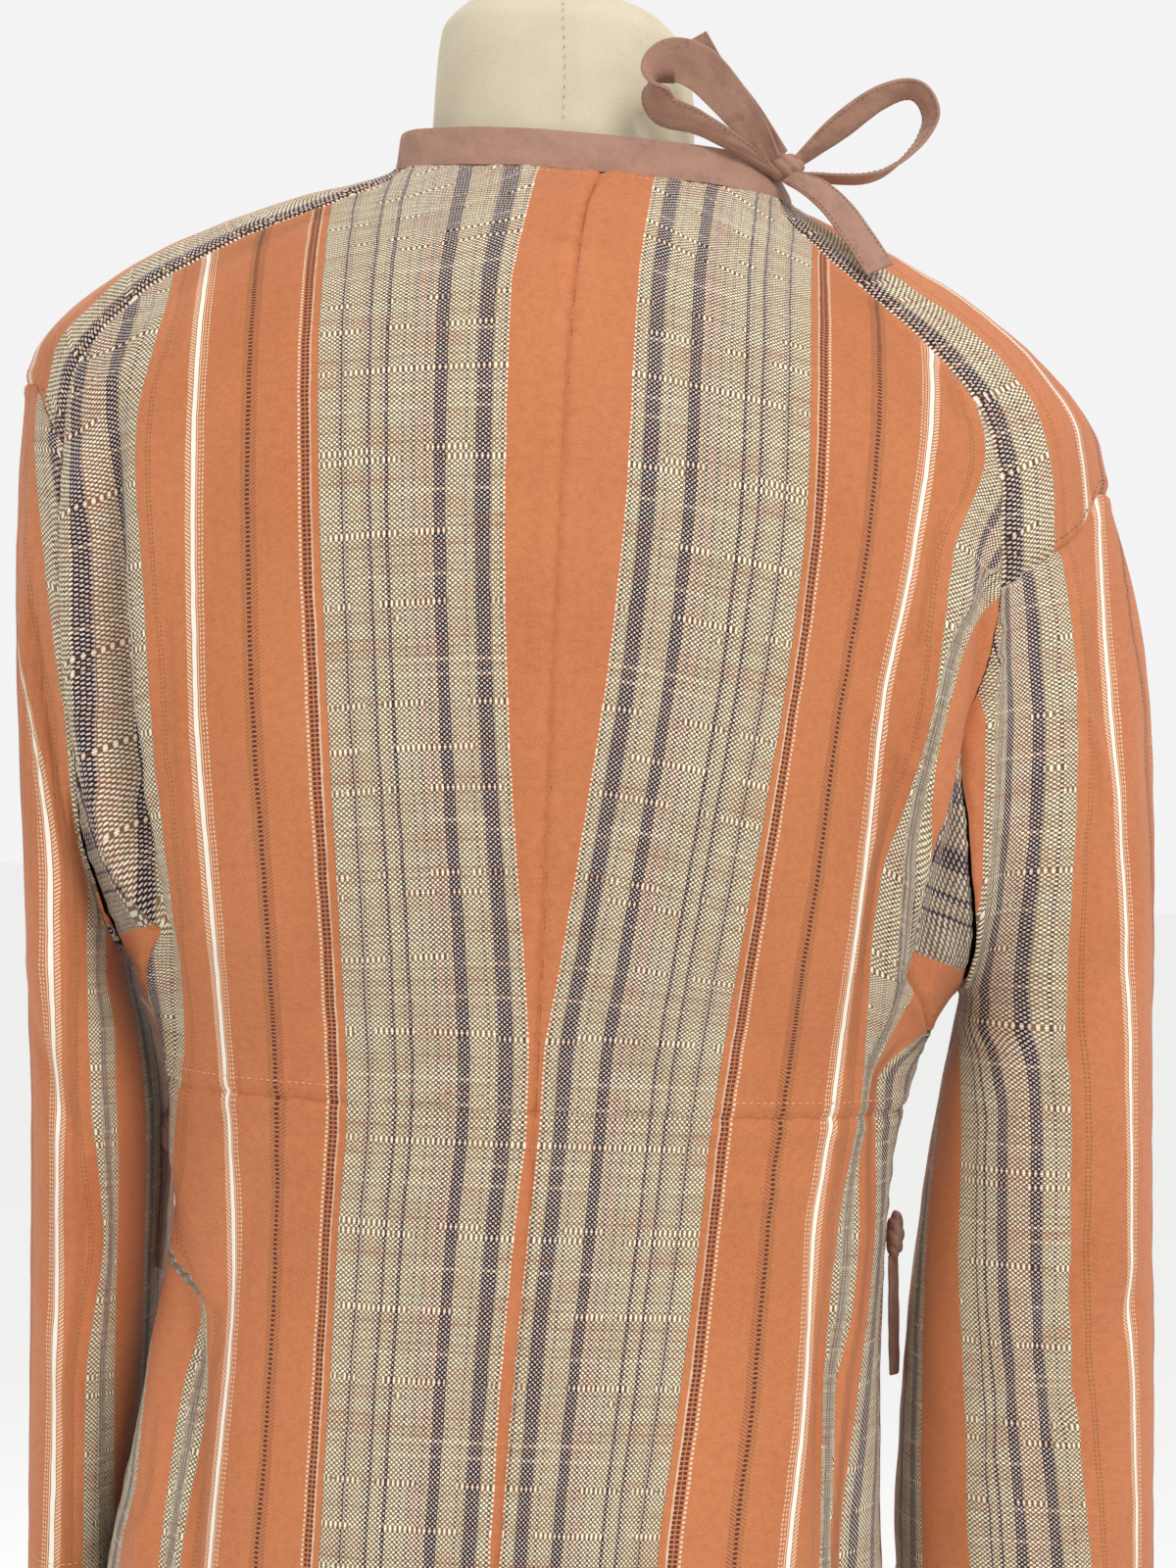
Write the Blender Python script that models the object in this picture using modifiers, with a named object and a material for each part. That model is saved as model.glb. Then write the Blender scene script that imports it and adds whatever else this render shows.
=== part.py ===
# Tunic jacket of striped cloth on a limbless dress form. Metres, +Z up, the back of the jacket faces -Y,
# the wearer's right is at +X, and the stand's underside is at the origin.

import math
from collections import namedtuple

import bpy
from mathutils import Vector

# Driving sizes
CLOTH_WALL = 0.0015
SEAM_GAP = 0.0003
ARMHOLE_GAP = 0.0008
NECK_Z = 1.474
WAIST_Z = 1.025
HEM_Z = 0.665
CUFF_Z = 0.765
UNDERARM_Z = 1.090
GUSSET_BEND_Z = 1.070
GUSSET_FOOT_Z = 1.050
BAND_HEIGHT = 0.018
FRONT_NECK_DROP = 0.055
OVERLAP_STEP = 0.0047
STEP_START_TURN = 130
STEP_SPAN = 22
BAND_LIFT = 0.0011
BAND_LIFT_FRONT = 0.0020
LIFT_START_TURN = 95
LIFT_SPAN = 45
BAND_START_TURN = -256
BAND_END_TURN = 84
BAND_COLUMNS = 40
GUSSET_GAP = 0.0008
UNDERARM_CLEARANCE = 0.0037
POINT_RISE = 0.004
SHOULDER_TILT = 0.040
TILT_TOP_Z = 1.300
TILT_FOOT_Z = 1.050
RIBBON_THICKNESS = 0.0016
COLLAR_HEIGHT = 0.012
COLLAR_FOOT_RADIUS = 0.045
COLLAR_TOP_RADIUS = 0.026
POLE_RADIUS = 0.016
BASE_RADIUS = 0.170
BASE_TOP_RADIUS = 0.158
BASE_HEIGHT = 0.022
FORM_FOOT_Z = 0.790
RIGHT = 1
LEFT = -1

# A level of the worn jacket: half width, depth to the back and to the front, sideways shift, and squareness
Section = namedtuple("Section", "z half back front shift power")
JACKET = (
    Section(1.495, 0.0900, 0.037, 0.086, 0.004, 2.15),
    Section(1.474, 0.0990, 0.048, 0.074, 0.009, 2.15),
    Section(1.463, 0.1210, 0.060, 0.072, 0.008, 2.15),
    Section(1.453, 0.1480, 0.069, 0.071, 0.006, 2.15),
    Section(1.430, 0.1960, 0.084, 0.075, 0.003, 2.20),
    Section(1.398, 0.2400, 0.097, 0.083, 0.001, 2.20),
    Section(1.365, 0.2650, 0.106, 0.092, 0.000, 2.25),
    Section(1.330, 0.2700, 0.112, 0.100, 0.000, 2.30),
    Section(1.250, 0.2630, 0.118, 0.112, 0.000, 2.30),
    Section(1.200, 0.2550, 0.118, 0.115, 0.000, 2.30),
    Section(1.150, 0.2410, 0.114, 0.114, 0.000, 2.30),
    Section(1.110, 0.2200, 0.110, 0.111, 0.000, 2.30),
    Section(1.088, 0.2060, 0.107, 0.108, 0.000, 2.30),
    Section(1.050, 0.1880, 0.103, 0.105, 0.000, 2.30),
    Section(1.000, 0.1780, 0.101, 0.102, 0.000, 2.30),
    Section(0.950, 0.1755, 0.103, 0.103, -0.001, 2.30),
    Section(0.900, 0.1775, 0.109, 0.106, -0.003, 2.30),
    Section(0.850, 0.1830, 0.116, 0.110, -0.006, 2.30),
    Section(0.800, 0.1890, 0.121, 0.114, -0.009, 2.30),
    Section(0.750, 0.1940, 0.124, 0.117, -0.010, 2.30),
    Section(0.640, 0.2020, 0.128, 0.121, -0.011, 2.30),
)

# A level of the dress form, whose neck stands forward of the shoulders
FormSection = namedtuple("FormSection", "z half back front shift forward")
FORM = (
    FormSection(1.578, 0.0200, 0.016, 0.018, -0.013, 0.031),
    FormSection(1.574, 0.0380, 0.032, 0.034, -0.012, 0.030),
    FormSection(1.566, 0.0520, 0.046, 0.046, -0.011, 0.029),
    FormSection(1.553, 0.0620, 0.055, 0.054, -0.010, 0.028),
    FormSection(1.525, 0.0660, 0.058, 0.056, -0.008, 0.027),
    FormSection(1.497, 0.0670, 0.056, 0.054, -0.0075, 0.023),
    FormSection(1.480, 0.0730, 0.055, 0.050, -0.006, 0.016),
    FormSection(1.466, 0.1000, 0.0570, 0.053, 0.005, 0.005),
    FormSection(1.453, 0.1404, 0.0680, 0.064, 0.006, 0.000),
    FormSection(1.432, 0.1831, 0.0814, 0.0705, 0.003, 0.000),
    FormSection(1.400, 0.2005, 0.0936, 0.0785, 0.001, 0.000),
    FormSection(1.360, 0.2010, 0.098, 0.081, 0.000, 0.000),
    FormSection(1.300, 0.1960, 0.101, 0.090, 0.000, 0.000),
    FormSection(1.200, 0.1800, 0.101, 0.100, 0.000, 0.000),
    FormSection(1.100, 0.1660, 0.092, 0.094, 0.000, 0.000),
    FormSection(1.020, 0.1560, 0.082, 0.086, 0.000, 0.000),
    FormSection(0.940, 0.1560, 0.085, 0.088, -0.001, 0.000),
    FormSection(0.860, 0.1620, 0.096, 0.094, -0.003, 0.000),
    FormSection(0.790, 0.1640, 0.100, 0.096, -0.005, 0.000),
)

# The back saddle seam from the neck to the armhole, and below it the outer edge of the back, as distance from the
# centre at each height. The last row of each is the foot of the gusset, at the side seam.
EdgeRow = namedtuple("EdgeRow", "z out")
BACK_EDGE = {
    RIGHT: (
        EdgeRow(1.474, 0.1000), EdgeRow(1.460, 0.1030), EdgeRow(1.447, 0.1140), EdgeRow(1.421, 0.1430),
        EdgeRow(1.404, 0.1650), EdgeRow(1.382, 0.1870), EdgeRow(1.364, 0.1990), EdgeRow(1.330, 0.2080),
        EdgeRow(1.288, 0.2110), EdgeRow(1.250, 0.2070), EdgeRow(1.213, 0.1980), EdgeRow(1.148, 0.1800),
        EdgeRow(1.095, 0.1740),
    ),
    LEFT: (
        EdgeRow(1.474, 0.0820), EdgeRow(1.463, 0.0910), EdgeRow(1.450, 0.1080), EdgeRow(1.428, 0.1520),
        EdgeRow(1.413, 0.1790), EdgeRow(1.393, 0.2060), EdgeRow(1.372, 0.2240), EdgeRow(1.345, 0.2370),
        EdgeRow(1.320, 0.2380), EdgeRow(1.250, 0.2350), EdgeRow(1.180, 0.2260), EdgeRow(1.130, 0.2060),
        EdgeRow(1.095, 0.1860),
    ),
}
JOIN_Z = {RIGHT: 1.288, LEFT: 1.320}
GUSSET_TOP_Z = {RIGHT: 1.213, LEFT: 1.180}

# The dropped armhole from the shoulder point to the join with the saddle seam, and from the gusset to the underarm
ARMHOLE_CAP = {
    RIGHT: (EdgeRow(1.340, 0.2600), EdgeRow(1.318, 0.2480), EdgeRow(1.304, 0.2320), EdgeRow(1.288, 0.2110)),
    LEFT: (EdgeRow(1.350, 0.2570), EdgeRow(1.340, 0.2510), EdgeRow(1.330, 0.2450), EdgeRow(1.320, 0.2380)),
}
ARMHOLE_FOOT = {
    RIGHT: (EdgeRow(1.213, 0.1980), EdgeRow(1.150, 0.2010), EdgeRow(1.110, 0.2070), EdgeRow(1.094, 0.2060)),
    LEFT: (EdgeRow(1.180, 0.2260), EdgeRow(1.145, 0.2240), EdgeRow(1.110, 0.2120), EdgeRow(1.094, 0.2060)),
}

# A level of a hanging sleeve: outer and inner edge as distance from the centre, middle depth, half depth
SleeveSection = namedtuple("SleeveSection", "z outer inner middle depth")
SLEEVE = {
    RIGHT: (
        SleeveSection(1.080, 0.3025, 0.2120, 0.004, 0.062),
        SleeveSection(1.000, 0.3080, 0.2010, 0.010, 0.060),
        SleeveSection(0.900, 0.3150, 0.1935, 0.018, 0.058),
        SleeveSection(0.830, 0.3195, 0.1930, 0.024, 0.057),
        SleeveSection(0.755, 0.3245, 0.1980, 0.030, 0.056),
    ),
    LEFT: (
        SleeveSection(1.080, 0.2540, 0.2110, 0.016, 0.078),
        SleeveSection(1.000, 0.2535, 0.1890, 0.036, 0.080),
        SleeveSection(0.900, 0.2520, 0.1900, 0.050, 0.080),
        SleeveSection(0.830, 0.2505, 0.1960, 0.056, 0.079),
        SleeveSection(0.755, 0.2480, 0.2035, 0.060, 0.078),
    ),
}
SLEEVE_POWER = 2.2
CAP_LEAN = {RIGHT: 0.25, LEFT: -0.05}
CAP_DROP = 0.75
CAP_REACH = {RIGHT: 0.33, LEFT: 0.24}
CAP_LANDING = 0.8
SLEEVE_AXIS = (0.245, 0.010, 1.250)
SLEEVE_ROWS_CAP = 8
SLEEVE_ROWS_LOW = 7

# Large folds of the back, as a line between two heights: a negative depth is a trough
Fold = namedtuple("Fold", "out_top z_top out_low z_low width depth")
BACK_FOLDS = {
    RIGHT: (
        Fold(0.188, 1.300, 0.160, 1.060, 0.011, 0.0060),
        Fold(0.170, 1.270, 0.142, 1.040, 0.012, -0.0035),
        Fold(0.150, 0.960, 0.166, 0.700, 0.012, -0.0050),
        Fold(-0.030, 0.970, 0.030, 0.860, 0.014, 0.0030),
    ),
    LEFT: (
        Fold(0.211, 1.345, 0.172, 1.065, 0.010, -0.0090),
        Fold(0.226, 1.310, 0.190, 1.110, 0.009, 0.0045),
        Fold(0.190, 1.330, 0.152, 1.080, 0.013, 0.0040),
        Fold(0.160, 0.940, 0.176, 0.700, 0.011, -0.0050),
    ),
}

# Folds of a sleeve, as a line between two turns round the tube: 0 is outermost, 90 the back, 180 innermost
SleeveFold = namedtuple("SleeveFold", "turn_top z_top turn_low z_low width depth")
SLEEVE_FOLDS = {
    RIGHT: (
        SleeveFold(40, 1.290, 120, 1.180, 13, -0.0050),
        SleeveFold(25, 1.265, 75, 1.150, 12, 0.0030),
        SleeveFold(60, 1.120, 140, 1.000, 14, -0.0040),
        SleeveFold(30, 0.960, 110, 0.860, 14, -0.0035),
        SleeveFold(240, 1.240, 300, 1.100, 16, -0.0040),
        SleeveFold(230, 1.000, 310, 0.880, 16, -0.0040),
    ),
    LEFT: (
        SleeveFold(40, 1.280, 110, 1.160, 13, -0.0045),
        SleeveFold(35, 1.080, 120, 0.960, 13, -0.0045),
        SleeveFold(50, 0.930, 110, 0.840, 14, 0.0030),
        SleeveFold(240, 1.200, 300, 1.080, 16, -0.0040),
        SleeveFold(230, 0.980, 310, 0.870, 16, -0.0040),
    ),
}

# The free edge of the over-front, from the neck to the hem, in degrees round from the centre back
EdgeTurn = namedtuple("EdgeTurn", "z turn")
FREE_EDGE = (
    EdgeTurn(1.474, 137), EdgeTurn(1.463, 143), EdgeTurn(1.450, 149), EdgeTurn(1.430, 152),
    EdgeTurn(1.350, 152), EdgeTurn(1.250, 150), EdgeTurn(1.150, 147), EdgeTurn(1.100, 139),
    EdgeTurn(1.060, 124), EdgeTurn(1.030, 114), EdgeTurn(1.000, 107), EdgeTurn(0.900, 103),
    EdgeTurn(0.665, 103),
)
BINDING_TURN = 5.5
UNDER_EDGE_TURN = 195
FRONT_DIP_START = 120

# Grid counts
ROWS_SADDLE = 8
ROWS_ARMHOLE = 4
ROWS_GUSSET = 6
ROWS_SIDE = 3
ROWS_LOWER = 8
COLUMNS_BACK = 9
COLUMNS_CAP_HALF = 4
COLUMNS_OVER = 14
COLUMNS_UNDER = 10
GUSSET_ROWS = 2

# Base colours
ORANGE = (0.55, 0.19, 0.07)
BEIGE = (0.42, 0.34, 0.22)
MAUVE = (0.34, 0.20, 0.15)
CANVAS = (0.68, 0.62, 0.49)
STEEL = (0.30, 0.30, 0.31)
IRON = (0.05, 0.05, 0.055)


# Numbers between the rows of a table
def hermite(keys, values, at):
    if keys[0] > keys[-1]:
        keys, values = keys[::-1], values[::-1]
    if at <= keys[0]:
        return values[0]
    if at >= keys[-1]:
        return values[-1]
    gaps = [b - a for a, b in zip(keys, keys[1:])]
    slopes = [(b - a) / gap for a, b, gap in zip(values, values[1:], gaps)]
    i = max(k for k in range(len(gaps)) if keys[k] <= at)
    here = slopes[i]

    def joint(left, right):
        return 0.0 if left * right <= 0 else 2 * left * right / (left + right)

    start = joint(slopes[i - 1], here) if i > 0 else here
    end = joint(here, slopes[i + 1]) if i + 1 < len(slopes) else here
    t = (at - keys[i]) / gaps[i]
    rise = values[i + 1] - values[i]
    lead = start * gaps[i]
    tail = end * gaps[i]
    return values[i] + t * lead + t * t * (3 * rise - 2 * lead - tail) + t**3 * (lead + tail - 2 * rise)


def column(table, name, at):
    return hermite([row.z for row in table], [getattr(row, name) for row in table], at)


def smooth(value):
    value = min(1.0, max(0.0, value))
    return value * value * (3 - 2 * value)


def power_of(base, exponent):
    return math.copysign(abs(base) ** exponent, base)


# The worn surface: turn is in degrees round from the centre back, positive towards the wearer's right
def tilted(point):
    share = smooth((point.z - TILT_FOOT_Z) / (TILT_TOP_Z - TILT_FOOT_Z))
    return Vector((point.x, point.y, point.z - SHOULDER_TILT * point.x * share))


def plain_point(turn, z):
    exponent = 2 / column(JACKET, "power", z)
    sine, cosine = math.sin(math.radians(turn)), math.cos(math.radians(turn))
    depth = column(JACKET, "back" if cosine > 0 else "front", z)
    x = column(JACKET, "shift", z) + column(JACKET, "half", z) * power_of(sine, exponent)
    return tilted(Vector((x, -depth * power_of(cosine, exponent), z)))


def outward(turn, z):
    step_turn, step_z = 1.5, 0.003
    around = plain_point(turn + step_turn, z) - plain_point(turn - step_turn, z)
    upward = plain_point(turn, z + step_z) - plain_point(turn, z - step_z)
    return around.cross(upward).normalized()


def fold_height(turn, z):
    if math.cos(math.radians(turn)) < -0.2:
        return 0.0
    x = plain_point(turn, z).x
    total = 0.0
    for side in (RIGHT, LEFT):
        for fold in BACK_FOLDS[side]:
            along = (fold.z_top - z) / (fold.z_top - fold.z_low)
            if not 0 < along < 1:
                continue
            line = side * (fold.out_top + (fold.out_low - fold.out_top) * along)
            fade = math.sin(math.pi * along) ** 0.6
            total += fold.depth * fade * math.exp(-(((x - line) / fold.width) ** 2))
    return total


def body_point(turn, z, out=0.0):
    return plain_point(turn, z) + outward(turn, z) * (out + fold_height(turn, z))


def turn_at(out, z, side):
    reach = (out - side * column(JACKET, "shift", z)) / column(JACKET, "half", z)
    return math.degrees(math.asin(min(1.0, max(0.0, reach)) ** (column(JACKET, "power", z) / 2)))


def neck_z(turn):
    away = abs((turn + 180) % 360 - 180)
    return NECK_Z - FRONT_NECK_DROP * smooth((away - FRONT_DIP_START) / (180 - FRONT_DIP_START))


# Seams as lists of (turn, z), for the wearer's right; the left is mirrored by its side
def spread(top, bottom, count):
    return [top + (bottom - top) * i / count for i in range(count + 1)]


def seam_row(side, table, z):
    return (turn_at(column(table, "out", z), z, side), z)


def saddle_seam(side):
    return [seam_row(side, BACK_EDGE[side], z) for z in spread(NECK_Z, JOIN_Z[side], ROWS_SADDLE)]


def armhole_back(side):
    heights = spread(JOIN_Z[side], GUSSET_TOP_Z[side], ROWS_ARMHOLE)
    return [seam_row(side, BACK_EDGE[side], z) for z in heights]


def gusset_outer(side):
    edge = BACK_EDGE[side]
    above = [seam_row(side, edge, z) for z in spread(GUSSET_TOP_Z[side], edge[-1].z, ROWS_GUSSET - 2)]
    turn = (above[-1][0] + 90) / 2
    return above + [(turn, GUSSET_BEND_Z), (90.0, GUSSET_FOOT_Z)]


def gusset_inner(side):
    edge = ARMHOLE_FOOT[side]
    heights = spread(GUSSET_TOP_Z[side], edge[-1].z, ROWS_GUSSET - 1)
    return [seam_row(side, edge, z) for z in heights] + [(90.0, UNDERARM_Z)]


def armhole_cap(side):
    table = ARMHOLE_CAP[side]
    heights = spread(table[0].z, JOIN_Z[side], COLUMNS_CAP_HALF - 1)
    return [(90.0, table[0].z + POINT_RISE)] + [seam_row(side, table, z) for z in heights]


def mirrored(seam):
    """The same seam on the front, run the other way."""
    return [(180 - turn, z) for turn, z in reversed(seam)]


# Grids of (turn, z) between four seams
def patch(start, end, first, last):
    """Coons patch: start and end hold each row's first and last point, first and last are whole rows."""
    rows, columns = len(start), len(first)
    grid = []
    for i in range(rows):
        v = i / (rows - 1)
        line = []
        for j in range(columns):
            u = j / (columns - 1)
            value = []
            for k in (0, 1):
                sides = (1 - u) * start[i][k] + u * end[i][k]
                ends = (1 - v) * first[j][k] + v * last[j][k]
                top = (1 - u) * first[0][k] + u * first[-1][k]
                bottom = (1 - u) * last[0][k] + u * last[-1][k]
                value.append(sides + ends - (1 - v) * top - v * bottom)
            line.append(tuple(value))
        grid.append(line)
    return grid


def place(grid, side, out=lambda turn, z: 0.0):
    return [[body_point(side * turn, z, out(turn, z)) for turn, z in row] for row in grid]


def drawn_in(points, closed=False, gap=SEAM_GAP):
    """Moves the edge of a grid in by half the seam gap, along its own threads."""

    def towards(a, b):
        return a + (b - a).normalized() * (gap / 2 + 0.00002)

    rows = [list(row) for row in points]
    rows[0] = [towards(a, b) for a, b in zip(points[0], points[1])]
    rows[-1] = [towards(a, b) for a, b in zip(points[-1], points[-2])]
    if not closed:
        for row in rows:
            row[0], row[-1] = towards(row[0], row[1]), towards(row[-1], row[-2])
    return rows


# Scene helpers
def clear_scene():
    for obj in list(bpy.data.objects):
        bpy.data.objects.remove(obj, do_unlink=True)


def new_collection():
    made = bpy.data.collections.new("tunic_jacket_on_dress_form")
    bpy.context.scene.collection.children.link(made)
    return made


def material(name, colour, roughness, metallic=0.0):
    made = bpy.data.materials.new(name)
    made.use_nodes = True
    shader = made.node_tree.nodes["Principled BSDF"]
    shader.inputs["Base Color"].default_value = (*colour, 1.0)
    shader.inputs["Roughness"].default_value = roughness
    shader.inputs["Metallic"].default_value = metallic
    return made


def add_object(name, mesh, finish):
    obj = bpy.data.objects.new(name, mesh)
    mesh.materials.append(finish)
    PARTS.objects.link(obj)
    mesh.shade_smooth()
    mesh.set_sharp_from_angle(angle=math.radians(40))
    return obj


def sheet(name, points, finish, centre, closed=False):
    """An open grid, turned to face away from centre(point), with its wall grown outwards."""
    rows, columns = len(points), len(points[0])
    faces = []
    for i in range(rows - 1):
        for j in range(columns if closed else columns - 1):
            k = (j + 1) % columns
            faces.append((i * columns + j, i * columns + k, (i + 1) * columns + k, (i + 1) * columns + j))
    flat = [point for row in points for point in row]
    facing = 0.0
    for a, b, c, d in faces:
        middle = (flat[a] + flat[b] + flat[c] + flat[d]) / 4
        facing += (flat[b] - flat[a]).cross(flat[d] - flat[a]).dot(middle - centre(middle))
    if facing < 0:
        faces = [face[::-1] for face in faces]
    mesh = bpy.data.meshes.new(name)
    mesh.from_pydata(flat, [], faces)
    obj = add_object(name, mesh, finish)
    wall = obj.modifiers.new("Wall", "SOLIDIFY")
    wall.thickness = CLOTH_WALL
    wall.offset = 1.0
    return obj


def body_axis(point):
    return Vector((0, 0, point.z - 0.05))


def loft(name, rings, finish):
    """A closed solid through rings, with flat ends."""
    count = len(rings[0])
    flat = [point for ring in rings for point in ring]
    faces = [tuple(range(count)), tuple(reversed(range(len(flat) - count, len(flat))))]
    for i in range(len(rings) - 1):
        for j in range(count):
            k = (j + 1) % count
            faces.append((i * count + k, i * count + j, (i + 1) * count + j, (i + 1) * count + k))
    volume = 0.0
    for face in faces:
        for b, c in zip(face[1:], face[2:]):
            volume += flat[face[0]].dot(flat[b].cross(flat[c]))
    if volume < 0:
        faces = [face[::-1] for face in faces]
    mesh = bpy.data.meshes.new(name)
    mesh.from_pydata(flat, [], faces)
    return add_object(name, mesh, finish)


# Jacket pieces
def back_upper(side, finish):
    edge = saddle_seam(side) + armhole_back(side)[1:] + gusset_outer(side)[1:]
    edge += [(90.0, z) for z in spread(GUSSET_FOOT_Z, WAIST_Z, ROWS_SIDE)[1:]]
    grid = [[(turn * j / COLUMNS_BACK, z) for j in range(COLUMNS_BACK + 1)] for turn, z in edge]
    name = "back_upper_right" if side == RIGHT else "back_upper_left"
    sheet(name, drawn_in(place(grid, side)), finish, body_axis)


def back_lower(side, finish):
    heights = spread(WAIST_Z, HEM_Z, ROWS_LOWER)
    grid = [[(90.0 * j / COLUMNS_BACK, z) for j in range(COLUMNS_BACK + 1)] for z in heights]
    name = "back_lower_right" if side == RIGHT else "back_lower_left"
    sheet(name, drawn_in(place(grid, side)), finish, body_axis)


def saddle(side, finish):
    seam, cap = saddle_seam(side), armhole_cap(side)
    end = cap[::-1] + [(180 - turn, z) for turn, z in cap[1:]]
    count = len(end) - 1
    start_turn = seam[0][0]
    first = [(start_turn + (180 - 2 * start_turn) * j / count, NECK_Z) for j in range(count + 1)]
    front = [(180 - turn, z) for turn, z in seam]
    name = "saddle_right" if side == RIGHT else "saddle_left"
    sheet(name, drawn_in(place(patch(seam, front, first, end), side)), finish, body_axis)


def gusset(side, finish):
    def round_the_arm(seam):
        return seam + mirrored(seam)[1:]

    inner, outer = round_the_arm(gusset_inner(side)), round_the_arm(gusset_outer(side))
    inner, outer = inner[1:-1], outer[1:-1]
    grid = []
    for a, b in zip(inner, outer):
        steps = [i / GUSSET_ROWS for i in range(GUSSET_ROWS + 1)]
        grid.append([(a[0] + (b[0] - a[0]) * t, a[1] + (b[1] - a[1]) * t) for t in steps])
    name = "gusset_right" if side == RIGHT else "gusset_left"
    sheet(name, drawn_in(place(grid, side), gap=GUSSET_GAP), finish, body_axis)


def front_edge(side):
    """The seams that a front is sewn to, from the neck to the hem."""
    back = saddle_seam(side) + armhole_back(side)[1:] + gusset_outer(side)[1:]
    edge = [(180 - turn, z) for turn, z in back]
    return edge + [(90.0, z) for z in spread(GUSSET_FOOT_Z, HEM_Z, ROWS_SIDE + ROWS_LOWER)[1:]]


def free_edge(side, free):
    """The free edge of a front, with a point for each of its rows, from its own neckline down."""
    rows = front_edge(side)
    top = neck_z(free(NECK_Z))
    heights = [top - (top - HEM_Z) * (NECK_Z - z) / (NECK_Z - HEM_Z) for turn, z in rows]
    return [(free(z), z) for z in heights]


def front(name, side, free, count, out, finish):
    start, end = front_edge(side), free_edge(side, free)
    turns = spread(start[0][0], end[0][0], count)
    first = [(turn, neck_z(turn)) for turn in turns]
    last = [(turn, HEM_Z) for turn in spread(90.0, end[-1][0], count)]
    sheet(name, drawn_in(place(patch(start, end, first, last), side, out)), finish, body_axis)


def over_step(turn, z):
    return OVERLAP_STEP * smooth((turn - STEP_START_TURN) / STEP_SPAN)


def over_edge(z):
    return 360 - column(FREE_EDGE, "turn", z)


def over_front(finish):
    front("front_over", LEFT, over_edge, COLUMNS_OVER, over_step, finish)


def under_front(finish):
    front("front_under", RIGHT, lambda z: UNDER_EDGE_TURN, COLUMNS_UNDER, lambda turn, z: 0.0, finish)


def front_binding(finish):
    grid = []
    for turn, z in free_edge(LEFT, over_edge)[1:]:
        grid.append([(turn + BINDING_TURN * t, z) for t in (0.0, 0.5, 1.0)])
    sheet("front_binding", drawn_in(place(grid, LEFT, over_step)), finish, body_axis)


def neck_band(finish):
    def foot(turn):
        share = smooth((abs(turn) - LIFT_START_TURN) / LIFT_SPAN)
        return neck_z(turn) + BAND_LIFT + BAND_LIFT_FRONT * share

    turns = spread(BAND_START_TURN, BAND_END_TURN, BAND_COLUMNS)
    grid = [[(turn, foot(turn) + BAND_HEIGHT * step) for turn in turns] for step in (0.0, 0.5, 1.0)]
    points = [[body_point(turn, z) for turn, z in row] for row in grid]
    sheet("neck_band", drawn_in(points), finish, body_axis)


def armhole_loop(side):
    half = armhole_cap(side) + armhole_back(side)[1:] + gusset_inner(side)[1:]
    return half + mirrored(half)[1:-1]


def sleeve_ring(side, turn, z):
    table = SLEEVE[side]
    outer, inner = column(table, "outer", z), column(table, "inner", z)
    sine, cosine = math.sin(math.radians(turn)), math.cos(math.radians(turn))
    exponent = 2 / SLEEVE_POWER
    x = (outer + inner) / 2 + (outer - inner) / 2 * power_of(cosine, exponent)
    y = column(table, "middle", z) - column(table, "depth", z) * power_of(sine, exponent)
    return Vector((side * x, y, z))


def sleeve_fold(side, turn, z):
    total = 0.0
    for fold in SLEEVE_FOLDS[side]:
        along = (fold.z_top - z) / (fold.z_top - fold.z_low)
        if 0 < along < 1:
            line = fold.turn_top + (fold.turn_low - fold.turn_top) * along
            total += fold.depth * math.sin(math.pi * along) * math.exp(-(((turn - line) / fold.width) ** 2))
    return total


def sleeve(side, finish):
    loop = armhole_loop(side)
    count = len(loop)
    top_z = SLEEVE[side][0].z
    starts = []
    for turn, z in loop:
        low = smooth((GUSSET_TOP_Z[side] - z) / (GUSSET_TOP_Z[side] - UNDERARM_Z))
        starts.append(body_point(side * turn, z, UNDERARM_CLEARANCE * low))
    lengths = [0.0]
    for a, b in zip(starts, starts[1:] + starts[:1]):
        lengths.append(lengths[-1] + (b - a).length)
    rows = [[] for i in range(SLEEVE_ROWS_CAP + SLEEVE_ROWS_LOW + 1)]
    for j, (turn, z) in enumerate(loop):
        round_turn = 360 * lengths[j] / lengths[-1]
        start, end = starts[j], sleeve_ring(side, round_turn, top_z)
        ahead = body_point(side * (turn + (3 if turn < 90 else -3)), z) - start
        if abs(turn - 90) < 1:
            ahead = body_point(side * turn, z - 0.01) - start
        lead = (ahead.normalized() + Vector((side * CAP_LEAN[side], 0, -CAP_DROP))).normalized()
        reach = (end - start).length * CAP_REACH[side]
        a, b, c, d = start, start + lead * reach, end + Vector((0, 0, reach * CAP_LANDING)), end
        for i in range(SLEEVE_ROWS_CAP + 1):
            t = i / SLEEVE_ROWS_CAP
            point = a * (1 - t) ** 3 + b * 3 * t * (1 - t) ** 2 + c * 3 * t * t * (1 - t) + d * t**3
            rows[i].append((point, round_turn, smooth(t * 3)))
        for i in range(1, SLEEVE_ROWS_LOW + 1):
            z_here = top_z + (CUFF_Z - top_z) * i / SLEEVE_ROWS_LOW
            rows[SLEEVE_ROWS_CAP + i].append((sleeve_ring(side, round_turn, z_here), round_turn, 1.0))
    points = []
    for row in rows:
        middle = sum((point for point, turn, share in row), Vector()) / count
        line = []
        for point, turn, share in row:
            away = (point - middle) * Vector((1, 1, 0.3))
            line.append(point + away.normalized() * (share * sleeve_fold(side, turn, point.z)))
        points.append(line)
    name = "sleeve_right" if side == RIGHT else "sleeve_left"

    def sleeve_axis(point):
        return Vector((side * SLEEVE_AXIS[0], SLEEVE_AXIS[1], min(point.z, SLEEVE_AXIS[2])))

    sheet(name, drawn_in(points, True, ARMHOLE_GAP * 2), finish, sleeve_axis, closed=True)


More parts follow.
